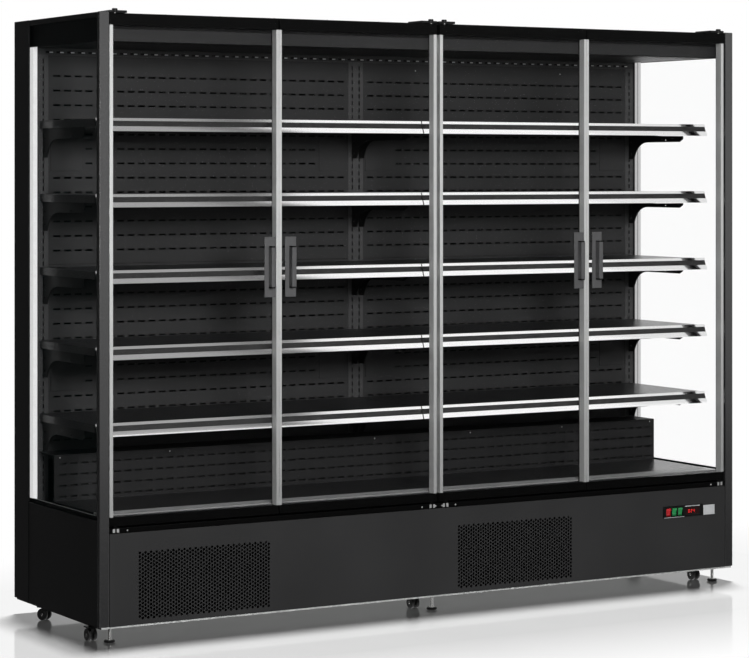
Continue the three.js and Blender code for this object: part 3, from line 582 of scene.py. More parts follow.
def grown(tree, finish, points, edges=(), **inputs):
    """The plain mesh that a tree makes from points and edges drawn flat, in millimetres."""
    seed = bpy.data.meshes.new("seed")
    seed.from_pydata([(x * MM, y * MM, 0.0) for x, y in points], list(edges), [])
    carrier = added("seed", seed)
    modifier = carrier.modifiers.new("grow", "NODES")
    modifier.node_group = tree
    values = {name.replace("_", " "): value for name, value in inputs.items()}
    values["finish"] = finish.material
    for item in tree.interface.items_tree:
        if item.in_out == "INPUT" and item.name.lower() in values:
            modifier[item.identifier] = values[item.name.lower()]
    graph = bpy.context.evaluated_depsgraph_get()
    mesh = bpy.data.meshes.new_from_object(carrier.evaluated_get(graph), depsgraph=graph)
    bpy.data.objects.remove(carrier)
    bpy.data.meshes.remove(seed)
    return mesh


# Points on each rounded corner of a slot.
CORNER_POINTS = 2


def punched(finish, outlines, holes, size, thickness, corner=0.0, round_sides=0):
    """A sheet drawn flat, with holes of one size at the given points."""
    points, edges = [], []
    for outline in outlines:
        start = len(points)
        points += outline
        count = len(outline)
        edges += [(start + i, start + (i + 1) % count) for i in range(count)]
    return grown(
        PUNCHED,
        finish,
        points + list(holes),
        edges,
        hole_width=size[0] * MM,
        hole_height=size[1] * MM,
        corner_radius=corner * MM,
        corner_points=CORNER_POINTS,
        round_sides=max(round_sides, 3),
        round=round_sides > 0,
        thickness=thickness * MM,
    )


def folded_lips(finish, points, length, height, proud):
    """A small bar at each point, with its sizes in millimetres."""
    size = {"length": length * MM, "height": height * MM, "proud": proud * MM}
    return grown(LIPS, finish, points, **size)


def screws(name, finish, way, origin, points, radius, height):
    """Screw heads on a face of the cabinet, at (across, up) points from the origin."""
    heads = grown(FASTENERS, finish, points, radius=radius * MM, height=height * MM, sides=12)
    piece(name, Form().absorb(heads, facing(way, origin)), finish)


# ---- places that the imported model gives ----

# The discharge strip hangs below the ceiling by this much.
STRIP_DROP = 24

(LEFT, _), (FRONT, BACK), (_, TOP) = spans("end_frame_left")
LINER = spans("rear_wall")[0][1]
DUCT_Y = spans("upright_centre")[1][0]
SEAL_Y = spans("base_tub")[1][0]
CEILING = spans("roof_canopy")[2][0] + STRIP_DROP
KICK_TOP = spans("kick_panel")[2][1]

# Folded sheet, and the gap that neighbours keep.
SHEET = 1.5
FIT = 0.3

# ---- camera ----

# The fit to the photo: the lens in millimetres, the pixel rows of the horizon and of the
# frame's middle, the place in metres and the heading in degrees.
PHOTO_WIDTH = 749
LENS = 123.81
HORIZON_ROW, MIDDLE_ROW = 169.19, 329
CAMERA_AT = (-4.6137, -7.7147, 1.4953)
HEADING = -30.554

camera_data = bpy.data.cameras.new("camera")
camera_data.sensor_width = 36.0
camera_data.lens = LENS
camera_data.shift_y = (HORIZON_ROW - MIDDLE_ROW) / PHOTO_WIDTH
camera_data.clip_end = 200.0
camera = added("camera", camera_data)
camera.location = CAMERA_AT
camera.rotation_euler = (math.radians(90), 0.0, math.radians(HEADING))
bpy.context.scene.camera = camera

# ---- end frames and their glass ----

# The printed bands, the panes and the spacers, as the glass is seen from the side.
PRINT_HEADER = 73
PRINT_FOOT = 15
END_PANE = 4
REAR_SPACER = {"left": 28, "right": 17}
FRONT_SPACER = 14
PANEL_INSET = 1.0
EDGE_SEAL = 10
BEAD = 2


def make_end(side, sign):
    """A post at the front and back, a rail and a panel between, and the glass unit they hold."""
    name = "end_frame_" + side
    x, y, z = spans(name)
    glass_x, glass_y, glass_z = spans("end_glass_" + side)
    face = x[1] if sign > 0 else x[0]
    inset = sorted((face - sign * PANEL_INSET, x[0] if sign > 0 else x[1]))
    between = within(glass_y, -FIT)
    post = Form().slab(x, (y[0], between[0]), z, 1.5)
    piece("end_post_" + side, post, post_paint, replaces=[name])
    # The rear post and the side panels take the darker copy of the posts' paint, a painted shade.
    form = Form()
    form.slab(x, (between[1], y[1]), z, 1.5)
    form.slab(inset, between, (glass_z[1] + FIT, z[1] - 0.5), 0.6)
    form.slab(inset, between, (z[0], glass_z[0] - FIT), 0.6)
    piece(name, form, side_paint, replaces=[name])

    outer, inner = (glass_x[1], glass_x[0]) if sign > 0 else glass_x
    panes = Form()
    for edge, way in ((outer, -sign), (inner, sign)):
        panes.slab(beside(edge, way, END_PANE), glass_y, glass_z, 0.4)
    piece("end_glass_unit_" + side, panes, end_glass, replaces=["end_glass_" + side])
    gap = sorted((outer - sign * (END_PANE + 0.2), inner + sign * (END_PANE + 0.2)))
    front, back = glass_y[0] + FRONT_SPACER, glass_y[1] - REAR_SPACER[side]
    low, high = glass_z
    # The rear spacer glows: painted light that keeps it white in the shade at the back.
    spacer = Form().slab(gap, (back, glass_y[1]), glass_z, 0.3)
    piece("end_spacer_" + side, spacer, glowing_spacer)
    seal = Form()
    seal.slab(gap, (glass_y[0], front), glass_z, 0.5)
    seal.slab(gap, (front, back), (high - EDGE_SEAL, high), 0.3)
    seal.slab(gap, (front, back), (low, low + EDGE_SEAL), 0.3)
    rim = gap[0 if sign > 0 else 1]
    seal.slab(beside(rim, sign, 1), (back - 2, back - 0.2), glass_z)
    piece("end_seal_" + side, seal, black_plastic)
    behind = outer - sign * (END_PANE + 0.05)
    film = beside(behind, -sign, 0.1)
    ink = Form()
    ink.slab(film, glass_y, (high - PRINT_HEADER, high))
    ink.slab(film, glass_y, (low, low + PRINT_FOOT))
    piece("end_print_" + side, ink, print_black)
    bead = Form().slab(film, (front, back), (low + PRINT_FOOT, low + PRINT_FOOT + BEAD))
    piece("end_bead_" + side, bead, silver)
    points = [(sign * (back - 20), z[0] + 280), (sign * (y[1] - 150), z[0] + 290)]
    points += [(sign * (y[1] - 30), w) for w in evenly(z[0] + 60, z[1] - 60, 5)]
    screws("end_screws_" + side, black_plastic, side, (face, 0, 0), points, 3.0, 1.0)


make_end("left", -1)
make_end("right", 1)

# ---- insulated shell ----

BACK_SHEETS = 4
BACK_SHEET = 3


def make_rear_wall():
    """The insulated wall, covered from behind with screwed sheets."""
    x, y, z = spans("rear_wall")
    form = Form().slab(x, (y[0], y[1] - BACK_SHEET), z, 0.5)
    width = (x[1] - x[0]) / BACK_SHEETS
    for i in range(BACK_SHEETS):
        left = x[0] + i * width
        sheet = (y[1] - BACK_SHEET - 0.5, y[1])
        form.slab((left + 1, left + width - 1), sheet, within(z, 2), 1.0)
    piece("rear_wall", form, black_paint, replaces=["rear_wall"])
    points = [
        (-(x[0] + i * width + edge), up)
        for i in range(BACK_SHEETS)
        for edge in (14, width - 14)
        for up in evenly(*within(z, 20), 8)
    ]
    screws("rear_wall_screws", black_plastic, "back", (0, y[1], 0), points, 4.0, 1.4)


make_rear_wall()

HEADER_DEPTH = 40
ROOF_UNDER = TOP - 50
ROOF_SHEETS = 3
ROOF_SHEET = 4
CEILING_SHEET = 3
# The discharge slot's place from front to back, and how far it stays off the liner.
DISCHARGE = (SEAL_Y + HEADER_DEPTH + 6, SEAL_Y + HEADER_DEPTH + 66)
DISCHARGE_END = 40
COMB_TILES = 24
COMB_CELL = 7
COMB_EDGE = 5
COMB_STAGGER = 4.5
COMB_ROWS, COMB_COLUMNS = 6, 11
STRIP_SLOTS = 62
STRIP_SLOT = (27, 7)
STRIP_ROW = 10
# The strip is folded back at its foot: (how far, how thick).
STRIP_FOLD = (12, 1.2)
# A pale bar in each slot, a painted highlight: its size, and its place from the slot's middle and
# the foot.
TIP = (12, 4, 1.2)
TIP_AT = (7, 9.5)


def make_canopy():
    """Roof sheets, ceiling with its long slot, and the header behind the doors."""
    form = Form()
    form.slab((-LINER, LINER), (SEAL_Y, BACK), (ROOF_UNDER, TOP - ROOF_SHEET / 2), 1.0)
    seams = evenly(-LINER, LINER, ROOF_SHEETS + 1)
    for span in zip(seams, seams[1:]):
        form.slab(within(span, 1), (SEAL_Y + 1, BACK - 1), (TOP - ROOF_SHEET, TOP), 1.2)
    slot = rectangle((DISCHARGE_END - LINER, LINER - DISCHARGE_END), DISCHARGE)
    outline = rectangle((-LINER, LINER), (SEAL_Y + 0.5, DUCT_Y))
    sheet = punched(black_paint, [outline, slot], [], (1, 1), CEILING_SHEET)
    form.absorb(sheet, facing("up", (0, 0, CEILING)))
    piece("roof_canopy", form, black_paint, replaces=["roof_canopy"])
    fascia = Form()
    for x in ((-LINER, -0.4), (0.4, LINER)):
        fascia.slab(x, (SEAL_Y, SEAL_Y + HEADER_DEPTH), (CEILING, ROOF_UNDER), 1.0)
    piece("canopy_fascia", fascia, fascia_paint)


def make_honeycomb():
    """The comb in the discharge slot, punched in equal tiles side by side."""
    start = DISCHARGE_END + 1 - LINER
    width = -2 * start / COMB_TILES
    deep = (DISCHARGE[1] - DISCHARGE[0] - 2) / 2
    comb = [
        (x + COMB_STAGGER * (row % 2), y)
        for row, y in enumerate(evenly(COMB_EDGE - deep, deep - COMB_EDGE, COMB_ROWS))
        for x in evenly(
            COMB_EDGE - width / 2, width / 2 - COMB_EDGE - COMB_STAGGER, COMB_COLUMNS
        )
    ]
    edge = rectangle(around(0, width), (-deep, deep))
    mesh = punched(black_plastic, [edge], comb, (COMB_CELL, COMB_CELL), 2.4, round_sides=6)
    form = Form()
    for i in range(COMB_TILES):
        at = (start + width * (i + 0.5), mid(DISCHARGE), CEILING + FIT)
        form.absorb(mesh, facing("up", at))
    piece("air_honeycomb", form, black_plastic)


def make_discharge_strip():
    """The slotted strip below the ceiling at the back, with a painted highlight in each slot."""
    low = CEILING - STRIP_DROP
    centre = mid((low, CEILING))
    slots = evenly(DISCHARGE_END - LINER, LINER - DISCHARGE_END, STRIP_SLOTS)
    holes = [(x, low + STRIP_ROW - centre) for x in slots]
    edge = rectangle((-LINER, LINER), (low - centre, CEILING - centre - FIT))
    strip = punched(duct_edge_paint, [edge], holes, STRIP_SLOT, SHEET, 1.5)
    form = Form().absorb(strip, facing("front", (0, DUCT_Y + SHEET, centre)))
    deep, thick = STRIP_FOLD
    form.slab((-LINER, LINER), (DUCT_Y + 0.2, DUCT_Y + deep), (low, low + thick))
    piece("discharge_strip", form, duct_edge_paint)
    # A pale bar low in each slot stands for a highlight: painted light.
    tip_highlights = [(x + TIP_AT[0], low + TIP_AT[1]) for x in slots]
    bars = folded_lips(tip_paint, tip_highlights, *TIP)
    form = Form().absorb(bars, facing("front", (0, DUCT_Y + 0.5, 0)))
    piece("discharge_tip_highlights", form, tip_paint)


def make_roof_screws():
    """Two rows of screws along the roof."""
    across = evenly(30 - LINER, LINER - 30, 13)
    points = [(x, y) for x in across for y in (SEAL_Y + 20, BACK - 20)]
    screws("roof_screws", black_plastic, "up", (0, 0, TOP), points, 4.0, 1.4)


make_canopy()
make_honeycomb()
make_discharge_strip()
make_roof_screws()

# ---- cold-air sheets ----

SLOT = (27, 6)
SLOT_CORNER = 1.8
SLOT_PERIOD = 39
# The lip under a slot and its turned-up end: (across, up, length, height).
LIP_PARTS = ((4, -1.0, 19, 1.6), (13.2, 1.4, 1.6, 4.4))
LIP_PROUD = 2.6
SLOT_MARGIN = 22
# Slots keep this far from a blank plate: (across, up).
KEEP_CLEAR = (15, 8)
UPPER_ROWS = 13
LOWER_ROWS = 12
ROW_TOP = 66
ROW_FOOT = 63
PANEL_SEAM = 50
DUCT_RECESS = 0.6
SEAM_GAP = 1.6
# Square blank plates: their side, how far from the panel's side, and their feet's heights.
BLANK = 112
BLANK_INSET = 8
BLANK_FEET = (1489, 754)


def front_sheet(form, finish, x, z, face, holes, size, thickness, corner):
    """Adds a sheet that fills x and z, its front at a depth, punched at (x, z) points."""
    centre = (mid(x), mid(z))
    local = [(a - centre[0], b - centre[1]) for a, b in holes]
    edge = rectangle((x[0] - centre[0], x[1] - centre[0]), (z[0] - centre[1], z[1] - centre[1]))
    sheet = punched(finish, [edge], local, size, thickness, corner)
    form.absorb(sheet, facing("front", (centre[0], face + thickness, centre[1])))


def louvred(form, finish, x, z, front, rows, keep_out=()):
    """Adds a slotted sheet with a folded lip over each slot, its front face at a depth."""
    count = int((x[1] - x[0] - 2 * SLOT_MARGIN) // SLOT_PERIOD) + 1
    start = mid(x) - SLOT_PERIOD * (count - 1) / 2
    side, above = KEEP_CLEAR
    holes = []
    for top in rows:
        for i in range(count):
            a, b = start + i * SLOT_PERIOD, top - SLOT[1] / 2
            if not any(
                u[0] - side < a < u[1] + side and v[0] - above < b < v[1] + above
                for u, v in keep_out
            ):
                holes.append((a, b))
    front_sheet(form, finish, x, z, front, holes, SLOT, SHEET, SLOT_CORNER)
    for at, up, length, height in LIP_PARTS:
        points = [(a + at, b - SLOT[1] / 2 + up) for a, b in holes]
        bars = folded_lips(finish, points, length, height, LIP_PROUD)
        form.absorb(bars, facing("front", (0, front, 0)))


def make_duct_panel(side):
    """Two louvred sheets over the duct, with blank plates where no slots are."""
    name = "duct_panel_" + side
    x, y, z = spans(name)
    count = UPPER_ROWS + LOWER_ROWS
    pitch = (z[1] - ROW_TOP - PANEL_SEAM - z[0] - ROW_FOOT) / (count - 1)
    rows = [
        z[1] - ROW_TOP - i * pitch - (0 if i < UPPER_ROWS else PANEL_SEAM) for i in range(count)
    ]
    seam = (rows[UPPER_ROWS - 1] + rows[UPPER_ROWS]) / 2
    blanks = [
        (beside(edge, way, BLANK_INSET + BLANK, BLANK_INSET), (foot, foot + BLANK))
        for edge, way in ((x[0], 1), (x[1], -1))
        for foot in BLANK_FEET
    ]
    form = Form()
    face = y[0] + DUCT_RECESS
    for low, high in ((z[0], seam - SEAM_GAP / 2), (seam + SEAM_GAP / 2, z[1])):
        inside = [row for row in rows if low < row < high]
        louvred(form, duct_paint, x, (low, high), face, inside, blanks)
    for flange in both_ends(x, SHEET):
        form.slab(flange, (y[0] + 2.2, y[1]), z)
    piece(name, form, duct_paint, replaces=[name])
    plates = Form()
    for u, v in blanks:
        plates.slab(u, (y[0] - 1.4, y[0] + 0.5), v, 0.8)
    piece("duct_blank_plates_" + side, plates, duct_paint)
    points = [(a, b) for a in (x[0] + 220, x[1] - 300) for b in (z[1] - 25, seam - 8)]
    screws("duct_screws_" + side, silver, "front", (0, face, 0), points, 2.2, 1.0)


make_duct_panel("left")
make_duct_panel("right")

PLENUM_ROWS = 4
PLENUM_PITCH = 36
PLENUM_FIRST = 26
BAFFLE = (9, 10)


def make_plenum_cover():
    """The louvred cover over the evaporator, with a baffle behind its slots."""
    x, y, z = spans("plenum_cover")
    rows = [z[1] - PLENUM_FIRST - PLENUM_PITCH * i for i in range(PLENUM_ROWS)]
    form = Form()
    louvred(form, plenum_paint, x, z, y[0], rows)
    form.slab(x, (y[0] + 0.2, y[1]), (z[1] - SHEET, z[1]), 0.4)
    piece("plenum_cover", form, plenum_paint, replaces=["plenum_cover"])
    baffle = Form().slab(x, (y[0] + BAFFLE[0], y[0] + BAFFLE[1]), (z[0], z[1] - 2))
    piece("plenum_baffle", baffle, black_plastic)
    points = [(a, z[1] - 9) for a in evenly(*within(x, 20), 7)]
    screws("plenum_screws", silver, "front", (0, y[0], 0), points, 2.6, 1.0)


make_plenum_cover()

GRILLE_TILES = 24
GRILLE_PITCH = 5.2
GRILLE_HOLE = 3.4
GRILLE_SHEET = 1.2
GRILLE_DROP = 12
GRILLE_ROWS = (12, 3)


def make_return_grille():
    """A perforated sheet, punched in equal tiles, with a drop along its front and back."""
    x, y, z = spans("return_grille")
    width = (x[1] - x[0]) / GRILLE_TILES
    columns = int(width / GRILLE_PITCH)
    pitch = width / columns
    form = Form()
    for half, way, at, rows in (
        ((y[1] - y[0]) / 2, "up", (mid(y), z[1] - GRILLE_SHEET), GRILLE_ROWS[0]),
        (GRILLE_DROP / 2, "front", (y[0] - 0.1, z[1] - GRILLE_DROP / 2 - 0.1), GRILLE_ROWS[1]),
    ):
        levels = evenly(GRILLE_HOLE - half, half - GRILLE_HOLE, rows)
        holes = [
            (pitch * (column + 0.25 + 0.5 * (row % 2)) - width / 2, level)
            for row, level in enumerate(levels)
            for column in range(columns)
        ]
        edge = rectangle(around(0, width), (-half, half))
        hole = (GRILLE_HOLE, GRILLE_HOLE)
        tile = punched(grille_metal, [edge], holes, hole, GRILLE_SHEET, round_sides=6)
        for i in range(GRILLE_TILES):
            form.absorb(tile, facing(way, (x[0] + width * (i + 0.5), *at)))
    form.slab(x, (y[1] - SHEET, y[1]), (z[0] - 8, z[1] - GRILLE_SHEET - 0.1))
    form.slab(x, (y[0] - 1.3, y[0] + SHEET), (z[1] - GRILLE_SHEET, z[1]), 0.3)
    piece("return_grille", form, grille_metal, replaces=["return_grille"])


make_return_grille()


def make_base_deck():
    """Two plates side by side, folded down at the front and back."""
    x, y, z = spans("base_deck")
    form = Form()
    for plate in ((x[0], -1.0), (1.0, x[1])):
        form.slab(plate, y, (z[1] - SHEET, z[1]), 0.6)
        for flange in both_ends(y, SHEET):
            form.slab(plate, flange, (z[0], z[1] - 0.5))
    piece("base_deck", form, deck_paint, replaces=["base_deck"])


make_base_deck()

# ---- slotted uprights ----

UPRIGHT_SLOT = (5, 16)
UPRIGHT_PITCH = 25
UPRIGHT_FIRST = 20
UPRIGHT_SHEET = 2
CENTRE_COLUMN = 14


def make_upright(side, columns):
    """A folded channel with a column of slots at each of the places across."""
    name = "upright_" + side
    x, y, z = spans(name)
    count = int((z[1] - z[0] - 30) // UPRIGHT_PITCH)
    holes = [
        (column, z[1] - UPRIGHT_FIRST - i * UPRIGHT_PITCH)
        for column in columns
        for i in range(count)
    ]
    form = Form()
    thick = UPRIGHT_SHEET
    front_sheet(form, upright_paint, x, z, y[0], holes, UPRIGHT_SLOT, thick, 1.5)
    for flange in both_ends(x, thick):
        form.slab(flange, (y[0] + 1, y[1]), z)
    piece(name, form, upright_paint, replaces=[name])


SIDE_COLUMN = mid((spans("upright_right")[0][0], LINER))
make_upright("left", [-SIDE_COLUMN])
make_upright("centre", [-CENTRE_COLUMN, CENTRE_COLUMN])
make_upright("right", [SIDE_COLUMN])

# ---- shelves ----

PAN_DROP = 3
PAN_FLANGE = 25
RAIL_HEIGHT = 42
RAIL_LEAN = 16
RAIL_THICK = 4.5
# Bands of the ticket rail, from its top edge down its face: (from, to).
RAIL_BANDS = ((0, 9.5), (9.5, 28), (28, 44.9))
RAIL_GROOVE = 2.5
RAIL_BULGE = 0.15
BRACKET = 3
BRACKET_HEIGHT = 125
BRACKET_ARM = 63
BRACKET_FOOT = 33
BRACKET_CURVE = 120
BRACKET_NOSE = 20
BRACKET_REACH = 335
# Three holes: (in front of the rear edge, below the shelf's top).
BRACKET_HOLE = 7
BRACKET_HOLES = ((16, 62), (16, 104), (230, 55))
# A hook's length and height, the neck that it hangs by, and the first one's drop.
HOOK = (7.6, 17)
HOOK_NECK = (2.6, 12)
HOOK_DROP = 8
STIFFENERS = 4
STIFFENER = 40


def bracket_mesh(rear):
    """The cantilever bracket, drawn from the side with the shelf's top at zero."""
    hooks = []
    out, tall = rear + HOOK[0], HOOK[1]
    neck, throat = rear + HOOK_NECK[0], HOOK_NECK[1]
    for top in (-PAN_DROP - HOOK_DROP, -PAN_DROP - BRACKET_HEIGHT + tall):
        hooks += [(rear, top), (out, top), (out, top - tall), (neck, top - tall)]
        hooks += [(neck, top - throat), (rear, top - throat)]
    curve = []
    for i in range(13):
        t = i / 12
        a, b, c = (1 - t) ** 2, 2 * t * (1 - t), t * t
        across = BRACKET_FOOT * a + (BRACKET_FOOT + BRACKET_NOSE) * b + BRACKET_CURVE * c
        curve.append((rear - across, -BRACKET_HEIGHT * a - BRACKET_ARM * (b + c)))
    tip = rear - BRACKET_REACH
    outline = [
        (rear, -4),
        *hooks,
        (rear, -BRACKET_HEIGHT),
        *curve,
        (tip + BRACKET_NOSE, -BRACKET_ARM),
        (tip, -BRACKET_ARM + BRACKET_NOSE / 2),
        (tip, -4),
    ]
    holes = [(rear - ahead, -down) for ahead, down in BRACKET_HOLES]
    size = (BRACKET_HOLE, BRACKET_HOLE)
    return punched(black_paint, [outline], holes, size, BRACKET, round_sides=8)


def rail_section(front, top, first, last, bulge=0.0, sunk=0.0):
    """A band of the leaning ticket rail as (y, z) points, its face bulging or sunk."""
    length = math.hypot(RAIL_HEIGHT, RAIL_LEAN)
    down = Vector((-RAIL_LEAN, -RAIL_HEIGHT)) / length
    out = Vector((-RAIL_HEIGHT, RAIL_LEAN)) / length
    corner = Vector((front + RAIL_LEAN, top))
    steps = 6 if bulge else 1
    face = []
    for i in range(steps + 1):
        t = i / steps
        proud = bulge * (4 * t * (1 - t) - 1) - sunk
        face.append(corner + down * (first + (last - first) * t) + out * proud)
    back = [corner + down * at - out * RAIL_THICK for at in (last, first)]
    return [tuple(p) for p in face + back]


def make_shelf(side, sign, level):
    """A folded pan with its ticket rail, on two brackets."""
    name = f"shelf_{side}_{level}"
    x, y, z = spans(name)
    top = z[1]
    front, back = y[0] + RAIL_LEAN, DUCT_Y - FIT
    pan_top = top - PAN_DROP
    drop = (pan_top - PAN_FLANGE, pan_top - 1)
    pan = Form()
    pan.slab(x, (front + 1, back), (pan_top - SHEET, pan_top), 0.5)
    pan.slab(x, (back - SHEET, back), drop)
    for flange in both_ends(x, SHEET):
        pan.slab(flange, (front + 4, back), drop)
    pan.slab(within(x, 2), (front + 7, front + 7 + SHEET), drop)
    rib = (pan_top - 9, pan_top - 1.2)
    for left in evenly(x[0] + 200, x[1] - 200 - STIFFENER, STIFFENERS):
        pan.slab((left, left + STIFFENER), (front + 30, back - 40), rib, 1.5)
    piece(name, pan, shelf_paint, replaces=[name])
    bright = Form()
    for band, bulge in ((RAIL_BANDS[0], 0), (RAIL_BANDS[2], RAIL_BULGE)):
        bright.prism(rail_section(y[0], top, *band, bulge), "x", x)
    piece(f"ticket_rail_{side}_{level}", bright, rail_silver)
    section = rail_section(y[0], top, *within(RAIL_BANDS[1], 0.1), sunk=RAIL_GROOVE)
    dark = Form().prism(section, "x", within(x, 0.5))
    piece(f"ticket_strip_{side}_{level}", dark, ticket_black)
    arms = Form()
    for at in (CENTRE_COLUMN * sign, SIDE_COLUMN * sign):
        arms.absorb(bracket, facing("right", (at - BRACKET / 2, 0, top)))
    piece(f"shelf_brackets_{side}_{level}", arms, black_paint)


bracket = bracket_mesh(DUCT_Y - FIT)
for level in range(1, 6):
    make_shelf("left", -1, level)
    make_shelf("right", 1, level)

# ---- kick panel and controls ----

VENT_HOLE = 9.5
VENT_COLUMNS = 48
VENT_ROWS = 18
VENT_TILES = 8
VENT_PITCH = (9.82, 11.8)
# Each grille's top left hole.
VENT_STARTS = ((-1114.5, 283), (79.7, 283))
# A filter's place behind each grille.
FILTER = (8, 9)
# The control panel's rim covers the edge of its window by this much.
PANEL_LAP = 4.7


def make_kick_panel():
    """A folded sheet with two air grilles, each punched in equal tiles side by side."""
    x, y, z = spans("kick_panel")
    panel_x, _, panel_z = spans("control_panel")
    middle_z = mid(z)
    across, down = VENT_PITCH
    columns = VENT_COLUMNS // VENT_TILES
    half = across * columns / 2
    deep = down * (VENT_ROWS + 0.5) / 2
    holes = [
        (across * (column + 0.5) - half, deep - down * (row + 0.5 + 0.5 * (column % 2)))
        for column in range(columns)
        for row in range(VENT_ROWS)
    ]
    edge = rectangle((-half, half), (-deep, deep))
    tile = punched(kick_paint, [edge], holes, (VENT_HOLE, VENT_HOLE), SHEET, round_sides=8)
    form = Form()
    low, high = within(panel_z, PANEL_LAP)
    windows = [rectangle(within(panel_x, PANEL_LAP), (low - middle_z, high - middle_z))]
    for left, top in VENT_STARTS:
        start, head = left - across / 2, top + down / 2
        span = (start, start + across * VENT_COLUMNS)
        windows.append(rectangle(span, (head - 2 * deep - middle_z, head - middle_z)))
        for i in range(VENT_TILES):
            at = (start + half * (2 * i + 1), FRONT + SHEET, head - deep)
            form.absorb(tile, facing("front", at))
    edge = rectangle(x, (z[0] - middle_z, z[1] - middle_z))
    sheet = punched(kick_paint, [edge, *windows], [], (1, 1), SHEET)
    form.absorb(sheet, facing("front", (0, FRONT + SHEET, middle_z)))
    inside = (FRONT + 1.2, y[1])
    for flange in both_ends(z, SHEET):
        form.slab(x, inside, flange)
    for flange in both_ends(x, SHEET):
        form.slab(flange, inside, z)
    piece("kick_panel", form, kick_paint, replaces=["kick_panel"])
    filters = Form()
    for left, top in VENT_STARTS:
        span = (left - 8, left + across * VENT_COLUMNS)
        behind = (FRONT + FILTER[0], FRONT + FILTER[1])
        filters.slab(span, behind, (top - 2 * deep, top + 12))
    piece("air_filters", filters, print_black)


make_kick_panel()

# A seven-segment numeral's bars, each (left, right, low, high), and those that a digit lights.
SEGMENTS = {
    "a": (1, 5.5, 10, 11.2),
    "b": (5.3, 6.5, 5.9, 10.6),
    "c": (5.3, 6.5, 0.6, 5.3),
    "d": (1, 5.5, 0, 1.2),
    "e": (0, 1.2, 0.6, 5.3),
    "f": (0, 1.2, 5.9, 10.6),
    "g": (1, 5.5, 5, 6.2),
}
LIT = {"0": "abcdef", "2": "abged", "4": "fgbc"}
SHOWN = "024"
DIGIT_PITCH = 11
# The numerals' lower left corner, from the display's.
DIGITS_AT = (16, 15)
DISPLAY_GAP = 9
PANEL_SEAT = 0.2
# The plate beside the panel: its size, and its gap from the panel's right and above its foot.
BLANK_PLATE = (50, 35)
BLANK_GAP = (4, 2)


def seven_segments(form, x, z, digit, face):
    """A numeral of a seven-segment display, with its lower left corner at (x, z)."""
    for name in LIT[digit]:
        left, right, low, high = SEGMENTS[name]
        form.slab((x + left, x + right), (face - 0.4, face), (z + low, z + high), 0.2)


def make_controls():
    """The panel round the rockers, its display and lines, and the blank plate beside it."""
    x, y, z = spans("control_panel")
    rockers = [spans(f"rocker_switch_{i}") for i in (1, 2, 3)]
    face = y[0] + 0.8
    edges = [x[0], *[v for r in rockers for v in (r[0][0] - 0.4, r[0][1] + 0.4)]]
    split = rockers[-1][0][1] + DISPLAY_GAP
    form = Form()
    low, high = within(rockers[0][2], -1)
    seat = FRONT - PANEL_SEAT
    bezel = (y[0], seat)
    form.slab((x[0], split), bezel, (high, z[1]), 0.8)
    form.slab((x[0], split), bezel, (z[0], low), 0.8)
    for across in zip(edges[::2], [*edges[1::2], split]):
        form.slab(across, bezel, (low, high), 0.3)
    form.slab((edges[1], split), (FRONT + 12, FRONT + 14), (low, high))
    form.slab((split, x[1]), (y[0] + 0.3, seat), z, 1.2)
    for up in ((z[0] + 6, low - 1), (high + 1, z[1] - 6)):
        form.slab(within(x, 6), (FRONT, y[1]), up)
    piece("control_panel", form, black_plastic, replaces=["control_panel"])
    lens = Form().slab((split + 6, x[1] - 16), (face - 0.9, face - 0.2), within(z, 9), 0.3)
    piece("display_lens", lens, lens_plastic)
    digits = Form()
    left, foot = split + DIGITS_AT[0], z[0] + DIGITS_AT[1]
    for i, digit in enumerate(SHOWN):
        seven_segments(digits, left + i * DIGIT_PITCH, foot, digit, face - 0.8)
    piece("display_digits", digits, lit_digit)
    light = Form()
    light.slab((split + 3, x[1] - 14), (face - 0.9, face), (z[1] - 6, z[1] - 3), 0.3)
    light.slab((x[0] + 4, split - 2), (face - 1.0, face), (z[0] + 1.2, z[0] + 3.0), 0.3)
    piece("control_lines", light, white_plastic)
    left, foot = x[1] + BLANK_GAP[0], z[0] + BLANK_GAP[1]
    across, up = (left, left + BLANK_PLATE[0]), (foot, foot + BLANK_PLATE[1])
    blank = Form().slab(across, (FRONT - 1.6, seat), up, 0.5)
    piece("blank_plate", blank, white_plastic)


make_controls()

ROCKER_EDGE = 0.3


def make_rocker(index, finish):
    """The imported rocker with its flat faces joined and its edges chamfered."""
    name = f"rocker_switch_{index}"
    form = Form()
    cap = form.mesh
    cap.from_mesh(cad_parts[name].data)
    bmesh.ops.remove_doubles(cap, verts=cap.verts, dist=1e-5)
    bmesh.ops.dissolve_limit(cap, angle_limit=0.01, verts=cap.verts, edges=cap.edges)
    sharp = [e for e in cap.edges if e.calc_face_angle(0) > ROCKER_EDGE]
    soften(cap, sharp, 0.8, 0.0)
    piece(name + "_cap", form, finish, name, replaces=[name])


for index, finish in ((1, red_plastic), (2, green_plastic), (3, green_plastic)):
    make_rocker(index, finish)

# ---- doors ----

FRONT_PANE = 5
REAR_PANE = (25, 29)
STILE = 12
LIP = 1.5
GASKET_FOOT, GASKET_BLADE = 6, 2.6
# Where two doors meet, their stiles are narrower and their lips nearly close the gap.
MEETING_STILE = 8
MEETING_REACH = 1.6
WEB_BACK = 4
BOTTOM_RAIL = 28
TOP_RAIL = 36
SPACER = 3
PIVOT = 20
PIVOT_BACK = 10.5
PIN = 4
HANDLE_INSET = 16
HANDLE_PLATE = (40, 196, 4)
HANDLE_CENTRE = 1177
GRIP = 128
CORE = 137
GROOVES = (9, 24)
GROOVE_DEPTH = 0.8
PIN_LENGTH = 11
SEAL_BAND = (2, 14)
# The grip's and the core's section: (across from the middle, out from the door), one half.
GRIP_HALF = ((6, 3.5), (5.2, 12), (5.2, 26.5), (8, 27), (8, 29), (7, 30))
CORE_HALF = ((5, 3.5), (4.4, 12), (4.4, 26), (7, 26.4), (7, 28.4), (5, 29.4))


